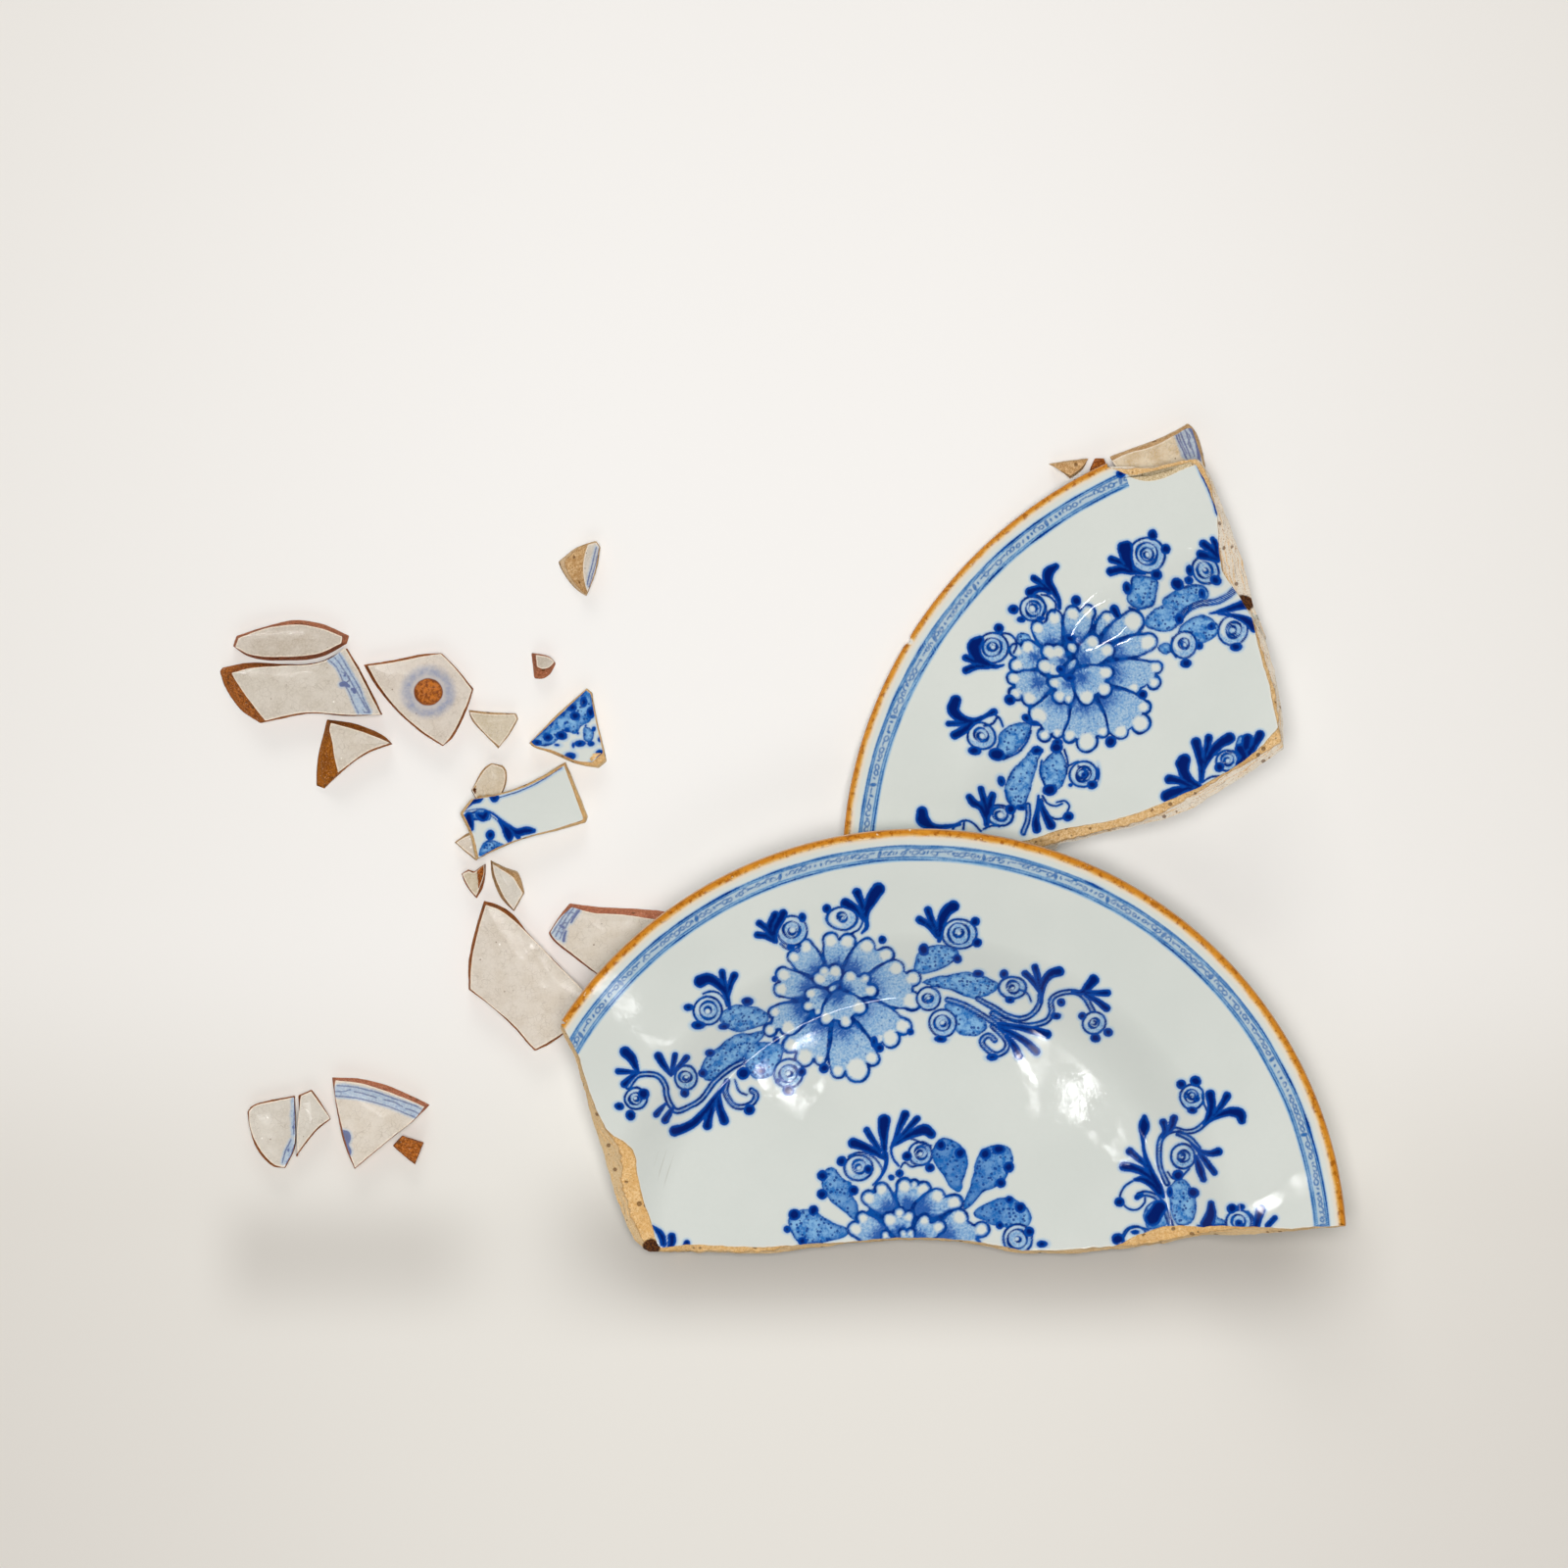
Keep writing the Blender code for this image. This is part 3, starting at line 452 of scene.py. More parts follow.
HALF_DOTS = [
    (-47.4, 138.7, 1.7, 2.2), (-37.4, 142.4, 2), (23.2, 136.9, 2), (24.1, 128.3, 2.1),
    (-94, 101.9, 2.2, 1.6), (-90, 94.5, 3, 1.8), (-79.7, 93.7, 2.4, 1.6), (-69.9, 104.2, 2.6, 2),
    (-112.4, 66.4, 2.4), (-122.3, 61.3, 2.2, 1.8), (-117.8, 57.7, 2.2, 2.4), (-95.8, 66.3, 2),
    (-53.1, 67.1, 2.4), (-57.5, 70.9, 1.2), (35.3, 115.2, 2), (37.9, 104.5, 2.2, 1.6), (67.4, 98, 1.8),
    (78.2, 91.4, 2), (73.1, 88.9, 2.2), (9.6, 88.3, 2.8, 1.6), (58.8, 103.5, 1.8), (56.8, 98, 2.2, 1.6),
    (30.8, 80.8, 2.6, 1.6), (-69.2, 59.2, 2.4), (24.8, 115.5, 2.4, 1.8), (2.3, 125.3, 2.4, 2.8),
    (16.2, 121.6, 2), (-85.5, 82.9, 2.2, 1.8), (-88.4, 74.5, 2), (-71.9, 74.1, 2.8), (-64.5, 75.1, 2, 1.6),
    (-14.7, 129.4, 1.8), (-58.7, 113.3, 1.4), (-38.5, 76, 2.2), (-47.7, 74.7, 2), (-15.8, 84.5, 2),
    (-2.8, 91.1, 1.6), (-58.2, 88, 1.6), (-17.9, 87.1, 1.6, 2.8), (-31.2, 38.1, 2.2), (-20.3, 34.5, 2),
    (-4.3, 40, 2.2), (5, 35.3, 2), (-7.4, 33.1, 1.8), (-10.8, 31.3, 1.4), (-39.1, 32.1, 2.4),
    (-39.3, 24.4, 2.4), (-26.3, 26, 2.2), (-50.6, 15.9, 2.6), (-53.7, 9.9, 1.6), (-42.9, 17.8, 2.2),
    (-47.4, 5, 2), (9.6, 44.4, 2.2), (17.4, 41.5, 2.4), (28, 41.1, 2.4), (33.4, 42.8, 2.8, 2.2),
    (37.5, 35.5, 2.4), (34.4, 29.1, 2.2), (37.8, 22.1, 1.8), (42.4, 18.9, 2.4), (33.8, 11.6, 1.8),
    (46, 9.1, 2.2), (51.3, 4, 2.4, 1.6), (107.8, 70.3, 2.1), (113.5, 71.6, 2.4), (112.3, 59.7, 2.2, 1.7),
    (83.2, 21.1, 2.2), (107.1, 32.3, 2.4), (113.3, 25.3, 2.4), (103.7, 25.4, 1.4, 2.6), (82.4, 5.8, 2.6),
    (128.4, 19.4, 2.2), (132, 20.1, 1.8, 1.4), (131.2, 13.4, 1.6), (114.4, 64.4, 1.2),
    (-52.2, 126.6, 2, 1.2), (89.4, 8.8, 2, 1),
]

def face_height(reach):
    """Height of the glazed face: a flat well, an S-shaped cavetto, then a rim of even slope."""
    t = np.clip((reach - 104) / 29, 0, 1)
    return 11.5 + 10.5 * t * t * (3 - 2 * t) + 0.215 * 5 * np.log1p(np.exp((reach - 118) / 5))


def face_slope(reach):
    """Rise of the face for each millimetre outwards, from the same formula."""
    t = np.clip((reach - 104) / 29, 0, 1)
    return 10.5 * 6 * t * (1 - t) / 29 + 0.215 / (1 + np.exp(-(reach - 118) / 5))


def under_height(reach):
    """Height of the underside: the wall's thickness below the face, and a turned foot ring."""
    lean = np.sqrt(1 + face_slope(reach) ** 2)
    thinned = np.clip((reach - 168) / 5.4, 0, 1)
    below = face_height(reach) - WALL * lean + 0.9 * thinned**2 * (3 - 2 * thinned)
    meets = float(face_height(108.0) - WALL * math.sqrt(1 + float(face_slope(108.0)) ** 2))
    ring = np.interp(reach, [0, 90.5, 93, 100, 101.5, 104, 108], [5.9, 5.9, 0, 0, 4.9, 5.6, meets])
    return np.where(reach < 108, ring, below)


def grain(x, y, z, size, seed):
    """Smooth value noise: random values at the corners of cubes of the given size, eased
    between with 3t^2 - 2t^3 along each side, from -1 to 1."""
    total = 0.0
    cells = [np.floor(v / size).astype(np.int64) for v in (x, y, z)]
    eased = [v / size - c for v, c in zip((x, y, z), cells)]
    eased = [t * t * (3 - 2 * t) for t in eased]
    for corner in range(8):
        steps = [(corner >> axis) & 1 for axis in range(3)]
        mixed = (cells[0] + steps[0]) * 374761393 + (cells[1] + steps[1]) * 668265263
        mixed = (mixed + (cells[2] + steps[2]) * 1440662683 + seed * 974634777) & 0xFFFFFFFF
        mixed = ((mixed ^ (mixed >> 13)) * 1274126177) & 0xFFFFFFFF
        value = ((mixed ^ (mixed >> 16)) & 0xFFFF) / 32767.5 - 1.0
        weight = 1.0
        for step, t in zip(steps, eased):
            weight = weight * (t if step else 1 - t)
        total = total + value * weight
    return total


def grains(x, y, z, seed, *layers):
    """Value noise of several sizes, each with its share, added up."""
    return sum(share * grain(x, y, z, size, seed + k) for k, (size, share) in enumerate(layers))


def along(stations, count, beside=None):
    """Points at even steps of length along a line through the stations, or at the same shares
    of a line beside it that has as many stations."""
    line = np.array(stations, float)
    length = np.r_[0, np.cumsum(np.hypot(*np.diff(line, axis=0).T))]
    steps = np.linspace(0, length[-1], count)
    track = line if beside is None else np.array(beside, float)
    return np.stack([np.interp(steps, length, track[:, k]) for k in range(2)], 1)


def sideways(line):
    """The level direction at right angles to a line, at each of its points."""
    course = np.gradient(line, axis=0)
    course /= np.linalg.norm(course, axis=1, keepdims=True) + 1e-9
    return np.stack([course[:, 1], -course[:, 0]], 1)


def chipped(points, seed, depth):
    """A broken line's small nicks: noise of 9, 3 and 1.2 mm pushed sideways, none at the ends."""
    still = np.zeros(len(points))
    push = grains(points[:, 0], points[:, 1], still, seed, (9.0, 0.5), (3.0, 0.3), (1.2, 0.2))
    ends = np.clip(np.minimum(np.arange(len(points)), np.arange(len(points))[::-1]) / 12, 0, 1)
    return points + sideways(points) * (push * depth * ends)[:, None]


def make_piece(name, points, quads, materials, normals=None, marks=None, finish=None, fans=None):
    """A mesh object from millimetre points and four-cornered faces, then the triangles round
    its poles, with smooth shading, its own normals and float marks on its points, and a
    material index for each face."""
    mesh = bpy.data.meshes.new(name)
    mesh.vertices.add(len(points))
    mesh.vertices.foreach_set("co", (points * 0.001).astype(np.float32).ravel())
    fans = np.zeros((0, 3), int) if fans is None else fans
    corners = np.concatenate([quads.ravel(), fans.ravel()])
    sides = np.repeat([4, 3], [len(quads), len(fans)])
    mesh.loops.add(len(corners))
    mesh.loops.foreach_set("vertex_index", corners.astype(np.int32))
    mesh.polygons.add(len(sides))
    mesh.polygons.foreach_set("loop_start", (np.cumsum(sides) - sides).astype(np.int32))
    mesh.polygons.foreach_set("loop_total", sides.astype(np.int32))
    if finish is not None:
        mesh.polygons.foreach_set("material_index", finish.astype(np.int32))
    for material in materials:
        mesh.materials.append(material)
    mesh.update(calc_edges=True)
    mesh.shade_smooth()
    for mark, values in (marks or {}).items():
        layer = mesh.attributes.new(mark, "FLOAT", "POINT")
        layer.data.foreach_set("value", np.ascontiguousarray(values, np.float32).ravel())
    if normals is not None:
        mesh.normals_split_custom_set_from_vertices(normals.tolist())
    piece = bpy.data.objects.new(name, mesh)
    scene.collection.objects.link(piece)
    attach(piece, "root")
    return piece


def kept_in(points, node):
    """Points pulled inside a node's box, in millimetres."""
    return np.clip(points, *(np.array(corner) * 1000 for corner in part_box(node)))


def grid_faces(rows, columns, rows_close=False, columns_close=False):
    """Corner numbers of the faces between neighbouring rows and columns of a grid, whose last
    row or column may close on the first."""
    r, c = np.meshgrid(np.arange(rows if rows_close else rows - 1),
                       np.arange(columns if columns_close else columns - 1), indexing="ij")
    below, beside = (r + 1) % rows, (c + 1) % columns
    corners = [r * columns + c, r * columns + beside, below * columns + beside, below * columns + c]
    return np.stack(corners, -1).reshape(-1, 4)


def grid_normals(points):
    """Normals of a grid of points, from the cross product of its two directions."""
    rows, columns = (np.gradient(points, axis=axis) for axis in (0, 1))
    normals = np.cross(columns, rows)
    length = np.linalg.norm(normals, axis=-1, keepdims=True)
    return normals / np.maximum(length, 1e-9)


# The coats of paint that the glazed surfaces carry, point by point, as distances in
# millimetres from the paint; the shade is from 0 to 1
COATS = ("pen", "brush", "petal_wash", "leaf_wash", "band", "shade")


def curve(path, steps=5, closed=False):
    """A smooth line through the points of a stroke: a Catmull-Rom spline."""
    p = np.array(path, float)
    ends = (p[-1], p[:2]) if closed else (2 * p[0] - p[1], 2 * p[-1] - p[-2])
    ring = np.vstack([ends[0], p, ends[1]])
    a, b, c, d = ring[:-3], ring[1:-2], ring[2:-1], ring[3:]
    t = np.linspace(0, 1, steps, endpoint=False)[:, None, None]
    squared, cubed = 2 * a - 5 * b + 4 * c - d, 3 * b - a - 3 * c + d
    bent = 0.5 * (2 * b + (c - a) * t + squared * t**2 + cubed * t**3)
    line = bent.transpose(1, 0, 2).reshape(-1, p.shape[1])
    return np.vstack([line, line[:1] if closed else p[-1:]])


def near(field, path, margin):
    """The points of a field that lie within the margin of a path."""
    x, y = field["x"], field["y"]
    lowest, highest = path[:, :2].min(0) - margin, path[:, :2].max(0) + margin
    return np.nonzero((x > lowest[0]) & (x < highest[0]) & (y > lowest[1]) & (y < highest[1]))[0]


def to_line(x, y, line):
    """Distance from points to a line of straight pieces, less the line's own half width."""
    best = np.full(len(x), 99.0)
    for start, end in zip(line, line[1:]):
        ax, ay = end[0] - start[0], end[1] - start[1]
        t = np.clip(((x - start[0]) * ax + (y - start[1]) * ay) / (ax * ax + ay * ay + 1e-9), 0, 1)
        half = start[2] + (end[2] - start[2]) * t if len(start) > 2 else 0.0
        best = np.minimum(best, np.hypot(x - start[0] - ax * t, y - start[1] - ay * t) - half)
    return best


def inside(x, y, outline):
    """True for points inside a closed outline: the count of sides crossed is odd."""
    odd = np.zeros(len(x), bool)
    for (ax, ay), (bx, by) in zip(outline, outline[1:]):
        crosses = (ay > y) != (by > y)
        odd ^= crosses & (x < (bx - ax) * (y - ay) / (by - ay + 1e-12) + ax)
    return odd


def lay(field, layer, at, distance):
    field[layer][at] = np.minimum(field[layer][at], distance)


def lift(field, at, distance, layers):
    """Clears earlier paint from inside a shape."""
    for layer in layers:
        held = field[layer][at]
        field[layer][at] = np.where(distance < 0, np.maximum(held, 6.0 * (distance < -0.2)), held)


def paint_field(x, y):
    """Unpainted glaze: every layer of paint is 6 mm away. A slight sway of 0.25 mm in where
    the brush went keeps the lines from being ruled."""
    flat = np.zeros_like(x)
    sway_x = 0.2 * grain(x, y, flat, 7.0, 5) + 0.1 * grain(x, y, flat, 2.5, 7)
    sway_y = 0.2 * grain(x, y, flat, 7.0, 6) + 0.1 * grain(x, y, flat, 2.5, 8)
    field = {"x": x + sway_x, "y": y + sway_y, "shade": flat.copy()}
    for layer in ("pen", "brush", "petal_wash", "leaf_wash", "band"):
        field[layer] = np.full(len(x), 6.0)
    return field


def signed(x, y, line):
    """Distance to a closed outline, negative inside it."""
    distance = to_line(x, y, line[:, :2])
    return np.where(inside(x, y, line[:, :2]), -distance, distance)


def paint_bed(field, x0, y0, radius):
    """The deep blue ground that shows between a flower's petals."""
    at = near(field, np.array([[x0, y0]]), radius + 2.0)
    lay(field, "pen", at, np.hypot(field["x"][at] - x0, field["y"][at] - y0) - radius)


def paint_leaf(field, outline):
    """A leaf: one wash of the brush, darker where it dried along the edge."""
    line = curve(outline, 4, closed=True)
    at = near(field, line, 3.0)
    uneven = grain(field["x"][at], field["y"][at], np.zeros(len(at)), 3.0, 33)
    distance = signed(field["x"][at], field["y"][at], line) + 0.5 * uneven
    lift(field, at, distance + 0.3, ("pen", "petal_wash"))
    lay(field, "leaf_wash", at, distance)
    lay(field, "pen", at, np.abs(distance + 0.2) - 0.1 - 0.4 * uneven)


def paint_petal(field, base, lobes):
    """A petal: the wedge between its base and its lobes, joined to the round lobes and to a
    tapering rib along each side, and swollen halfway along by 0.44 t (1 - t) of its length. It
    is washed in streaks from the base, darkest there and along its edge, and left white in the
    middle of the lobes; its outline is thick near the base and thin round the lobes."""
    rays = np.array([base, *lobes])
    at = near(field, rays, rays[:, 2].max() + 3.0)
    x, y = field["x"][at], field["y"][at]
    ends = [np.hypot(x - lx, y - ly) - lr for lx, ly, lr in lobes]
    tip = np.minimum.reduce(ends)
    length = np.mean(np.hypot(rays[1:, 0] - base[0], rays[1:, 1] - base[1])) + 1e-6
    outward = np.clip(np.hypot(x - base[0], y - base[1]) / length, 0, 1)
    parts = [to_line(x, y, rays[[0, 1]]), to_line(x, y, rays[[0, -1]])]
    if len(lobes) > 1:
        parts.append(signed(x, y, np.vstack([rays, rays[:1]])) - 0.2)
    swell = 0.44 * length * outward * (1 - outward)
    shape = np.minimum(np.minimum.reduce(parts) - swell, tip)
    lift(field, at, shape, ("pen", "petal_wash", "leaf_wash"))
    in_lobe = np.minimum(-tip - 1.0, -shape - 1.3)
    lay(field, "petal_wash", at, np.maximum(shape + 0.1, in_lobe))
    bearing = np.arctan2(y - base[1], x - base[0])
    streak = grain(bearing * length / 0.55, outward * length / 3.0, np.zeros_like(x), 1.0, 37)
    rim_of_petal = np.clip(1 + shape / 1.7, 0, 1) * np.where(tip < 0, 0.7, 0.95)
    depth = rim_of_petal + np.clip(1 - outward / 0.66, 0, 1) + 0.24 * streak
    field["shade"][at] = np.where(shape < 0.4, np.clip(depth, 0, 1), field["shade"][at])
    weight = 0.16 * grain(x, y, np.zeros_like(x), 3.5, 31)
    lay(field, "pen", at, np.abs(shape) - 0.54 - 0.36 * (1 - outward) ** 1.5 - weight)


def paint_rose(field, x0, y0, rx, ry, rings, heart_radius):
    """A small rose: rings round a light middle, on white, with a wash down one side."""
    box = np.array([[x0 - rx, y0 - ry], [x0 + rx, y0 + ry]])
    at = near(field, box, 2.5)
    x, y = field["x"][at] - x0, field["y"][at] - y0
    spread = np.sqrt((x / rx) ** 2 + (y / ry) ** 2 + 1e-9)
    outer = (spread - 1) * min(rx, ry)
    lift(field, at, outer, ("pen", "petal_wash", "leaf_wash"))
    lay(field, "pen", at, np.abs(outer) - 0.5)
    crescent = np.maximum(outer + 0.2, 0.66 * rx - np.hypot(x + 0.22 * rx, y - 0.26 * ry))
    lay(field, "petal_wash", at, crescent)
    washed = np.clip(0.5 + outer / 2.6, 0.1, 0.6)
    field["shade"][at] = np.where(outer < 0, washed, field["shade"][at])
    angle = np.arctan2(y, x)
    for k, ring in enumerate(rings):
        swing = np.hypot(x + 0.25 * k, y - 0.2) - ring - 0.3 * np.sin(angle + 1.7 * k + x0)
        lay(field, "pen", at, np.abs(swing) - 0.48 + 0.2 * np.sin(angle * 2 + x0))
        lay(field, "petal_wash", at, np.maximum(swing, heart_radius - np.hypot(x, y)) + 0.1)
    if heart_radius:
        small = np.hypot(x, y) - heart_radius
        lay(field, "pen", at, np.abs(small) - 0.36 + 0.3 * np.cos(angle + x0))


def paint_stem(field, path):
    """A stem: two lines side by side with a thin wash between them."""
    line, gap = curve(path, 4), 0.85
    at = near(field, line, 3.0)
    distance = to_line(field["x"][at], field["y"][at], line)
    lift(field, at, distance - gap, ("leaf_wash",))
    lay(field, "pen", at, np.abs(distance - gap) - 0.5)
    field["shade"][at] = np.where(distance < gap, 0.6, field["shade"][at])
    lay(field, "petal_wash", at, np.maximum(distance - gap + 0.3, 0.3 - distance))


def paint_line(field, path, half_width=0.48):
    line = curve(path, 4)
    at = near(field, line, 3.0)
    lay(field, "pen", at, to_line(field["x"][at], field["y"][at], line) - half_width)


def paint_comma(field, path):
    """A loaded brush pressed down at the head and lifted towards the root."""
    line = curve(path, 5)
    at = near(field, line, line[:, 2].max() + 3.5)
    lay(field, "brush", at, to_line(field["x"][at], field["y"][at], line))


def paint_dot(field, x0, y0, rx, ry=None):
    ry = ry or rx
    at = near(field, np.array([[x0, y0]]), max(rx, ry) + 3.0)
    x, y = field["x"][at] - x0, field["y"][at] - y0
    spread = np.sqrt((x / rx) ** 2 + (y / ry) ** 2)
    lay(field, "brush", at, (spread - 1) * min(rx, ry))


def paint_band(field, reach, bearing, seed):
    """The border: two lines at each side, 162.5 and 163.4, 167.1 and 167.9 mm out, drawn by a
    hand that leaned harder here and there, and between them a row of small curls, rings and
    dashes, each a few millimetres long, with a blot of colour every two centimetres."""
    flat = np.zeros_like(reach)
    arc = bearing * 165
    waver = 0.22 * grain(arc, flat, flat, 16.0, seed)
    for k, (far_out, half) in enumerate(((162.5, 0.26), (163.4, 0.14), (167.1, 0.14), (167.9, 0.3))):
        weight = 0.14 * grain(arc, flat, flat, 6.0, seed + 1 + k)
        line = np.abs(reach - far_out - waver) - half - weight
        lay(field, "band", slice(None), line)
        if half > 0.2:
            pressed = 0.5 * grain(arc, flat, flat, 11.0, seed + 9 + k)
            lay(field, "pen", slice(None), line + 0.34 - pressed)
    chance, border = np.random.default_rng(seed), 165.3
    spot, blot = float(arc.min()), float(arc.min()) + 9.0
    while spot < arc.max():
        kind, size = chance.integers(0, 5), chance.uniform(0.8, 1.15)
        shift, turn = chance.uniform(-0.25, 0.25), chance.uniform(-0.5, 0.5)
        at = np.nonzero((np.abs(arc - spot) < 4.5) & (np.abs(reach - border) < 4.0))[0]
        a, r = arc[at] - spot, reach[at] - border - shift
        a, r = a + turn * r, r - 0.2 * turn * a
        if kind < 2:
            drawn = np.abs(np.hypot(a / 1.3, r) - 0.8 * size) - 0.2
        elif kind == 2:
            drawn = np.maximum(np.abs(np.hypot(a, r) - size) - 0.24, -r - 0.5)
        elif kind == 3:
            drawn = np.hypot(np.maximum(np.abs(a) - size, 0), r - 0.4) - 0.24
        else:
            drawn = np.hypot(a, 0.7 * r) - 0.45 * size
        if spot > blot:
            # the loaded brush touched down across the whole border
            drawn, blot = np.hypot(a, 0.55 * r) - 0.75, blot + chance.uniform(24.0, 44.0)
        lay(field, "band", at, drawn)
        spot += chance.uniform(1.9, 3.1)


def paint_dish(field, beds, petals, leaves, stems, roses, lines, commas, dots):
    """The painter's order: leaves and stems, then petals from the outside in, roses, and last
    the dark brush strokes."""
    for outline in leaves:
        paint_leaf(field, outline)
    for path in stems:
        paint_stem(field, path)
    for bed in beds:
        paint_bed(field, *bed)
    for base, *lobes in petals:
        paint_petal(field, base, lobes)
    for rose in roses:
        paint_rose(field, *rose)
    for path in lines:
        paint_line(field, path)
    for path in commas:
        paint_comma(field, path)
    for dot in dots:
        paint_dot(field, *dot)


def group(name, inputs, outputs):
    """An empty shader node group: its tree, and the sockets that it is given and gives back."""
    made = bpy.data.node_groups.new(name, "ShaderNodeTree")
    for direction, sockets in (("INPUT", inputs), ("OUTPUT", outputs)):
        for label, kind in sockets:
            made.interface.new_socket(name=label, in_out=direction, socket_type=kind)
    given = made.nodes.new("NodeGroupInput").outputs
    return made, given, made.nodes.new("NodeGroupOutput").inputs


VALUE, COLOUR, VECTOR = "NodeSocketFloat", "NodeSocketColor", "NodeSocketVector"

# Tin glaze: opaque and faintly green-grey, cloudy in places, with pinholes, specks and the
# dimpled surface that fired glaze has
tree, given, result = group(
    "tin_glaze",
    [("Where", VECTOR), ("Glaze", COLOUR), ("Cloud", COLOUR), ("Lip", VALUE)],
    [("Colour", COLOUR), ("Roughness", VALUE), ("Height", VALUE)],
)
where = given["Where"]
cloudy = cloud(where, 55.0, 3.0, 0.5, 0.35, 0.7)
mottle = cloud(where, 2.2, 3.0, 0.6, 0.3, 0.75)
colour = blend(times(cloudy, 0.6), given["Glaze"], given["Cloud"])
colour = blend(times(mottle, 0.16), colour, given["Cloud"])
away, pick, _ = specks(where, 55.0)
speck = times(ramp(away, 0.034, 0.02), ramp(pick, 0.955, 0.96))
colour = blend(speck, colour, painted(74, 62, 50))
# the glaze is paler within a millimetre of the break: partly its own white thickness seen at the edge, partly
# a painted highlight along the lip
lip = plus(given["Lip"], times(mottle, 0.2))
colour = blend(ramp(lip, 0.7, 1.0, 0.0, 0.6), colour, painted(236, 230, 216))
# past a lip of one the glaze is gone and the sandy body shows
ragged = times(noise(where, 1.5, 3.0, 0.6), 0.8)
bare = ramp(plus(given["Lip"], ragged), 1.5, 1.9)
grains_of_sand = cloud(where, 0.7, 3.0, 0.6, 0.36, 0.64)
sand = blend(grains_of_sand, painted(184, 158, 116), painted(224, 206, 170))
stains = cloud(where, 1.8, 2.0, 0.5, 0.62, 0.7, 0.0, 0.7)
sand = blend(stains, sand, painted(140, 104, 62))
colour = blend(bare, colour, sand)
dimple = noise(where, 1.4, 2.0, 0.55)
ripple = noise(where, 9.0, 1.0, 0.5)
tree.links.new(colour, result["Colour"])
wear = cloud(where, 4.0, 3.0, 0.5, 0.3, 0.75, 0.02, 0.05)
tree.links.new(plus(wear, times(bare, 0.8)), result["Roughness"])
tree.links.new(plus(times(dimple, 0.25), ripple), result["Height"])
tin_glaze = tree

# Cobalt on tin glaze: dark where the brush pooled, blue where it is thin, soft at the edge
# because it sank into the glaze in the kiln
cobalt, given, result = group(
    "cobalt_on_glaze",
    [("Where", VECTOR), ("Glaze", COLOUR), ("Pen", VALUE), ("Brush", VALUE), ("Petal wash", VALUE),
     ("Leaf wash", VALUE), ("Band", VALUE), ("Shade", VALUE), ("Reach", VALUE)],
    [("Colour", COLOUR), ("Painted", VALUE)],
)
where = given["Where"]


def mottled(amount, size_mm):
    """Fine noise, to roughen an edge or a tone."""
    return swayed_by(noise(where, size_mm, 3.0, 0.6), amount)


def coat(distance, edge, start, end, full=1.0):
    """How much of a coat lies here: none at start millimetres from it, full at end."""
    return ramp(plus(distance, edge), start, end, 0.0, full)


tone_noise = noise(where, 2.6, 3.0, 0.6)
rough_edge = mottled(0.5, 0.8)
glow = sums("MINIMUM", given["Pen"], given["Brush"])
colour = blend(coat(glow, rough_edge, 1.3, 0.1, 0.5), given["Glaze"], painted(118, 174, 220))
away, pick, other_pick = specks(where, 620.0)

# petals: a grey-blue wash, stippled, deep blue at the root and along the edge
petal = coat(given["Petal wash"], mottled(1.8, 1.6), 0.4, -1.2, 0.95)
stipple = noise(where, 0.9, 3.0, 0.65)
petal_tone = blend(ramp(stipple, 0.34, 0.66), painted(98, 152, 204), painted(168, 197, 219))
petal_tone = blend(ramp(tone_noise, 0.4, 0.7, 0.0, 0.3), petal_tone, painted(180, 202, 219))
colour = blend(petal, colour, petal_tone)
flecks = times(ramp(away, 0.34, 0.18), ramp(pick, 0.62, 0.7), petal, 0.6)
colour = blend(flecks, colour, painted(40, 96, 166))
deep = ramp(plus(given["Shade"], mottled(0.6, 1.0)), 0.06, 0.85)
deep_tone = blend(deep, painted(92, 152, 210), painted(12, 80, 164))
covered = ramp(given["Petal wash"], 0.6, -0.2)
colour = blend(times(deep, covered, 0.92), colour, deep_tone)

# leaves: a clear blue wash, dark where it pooled along the edge, with dark round specks in it
leaf = coat(given["Leaf wash"], rough_edge, 0.25, -0.35)
uneven = cloud(where, 3.2, 4.0, 0.7, 0.34, 0.62)
leaf_tone = blend(uneven, painted(38, 112, 186), painted(136, 183, 221))
colour = blend(leaf, colour, leaf_tone)
dried = ramp(plus(given["Leaf wash"], mottled(1.6, 2.0)), -2.0, -0.2)
colour = blend(times(dried, leaf, 0.8), colour, painted(16, 88, 168))
fuller = times(ramp(given["Shade"], 0.04, 0.14), leaf)
colour = blend(times(fuller, 0.55), colour, painted(14, 92, 172))
spots = times(ramp(away, 0.44, 0.28), ramp(other_pick, 0.36, 0.42), leaf, 0.85)
colour = blend(spots, colour, painted(12, 60, 138))

# the border: a wash between lines
reach = given["Reach"]
band_cover = times(ramp(reach, 161.2, 162.3), ramp(reach, 168.7, 168.0))
between = times(ramp(reach, 163.5, 164.1), ramp(reach, 167.0, 166.5))
border_tone = blend(between, painted(134, 180, 214), painted(172, 193, 206))
band_cover = times(band_cover, ramp(tone_noise, 0.2, 0.75, 1.0, 0.75))
colour = blend(band_cover, colour, border_tone)
band = coat(given["Band"], rough_edge, 0.4, -0.2)
band = times(band, ramp(tone_noise, 0.25, 0.8, 1.0, 0.7))
colour = blend(band, colour, painted(44, 104, 168))

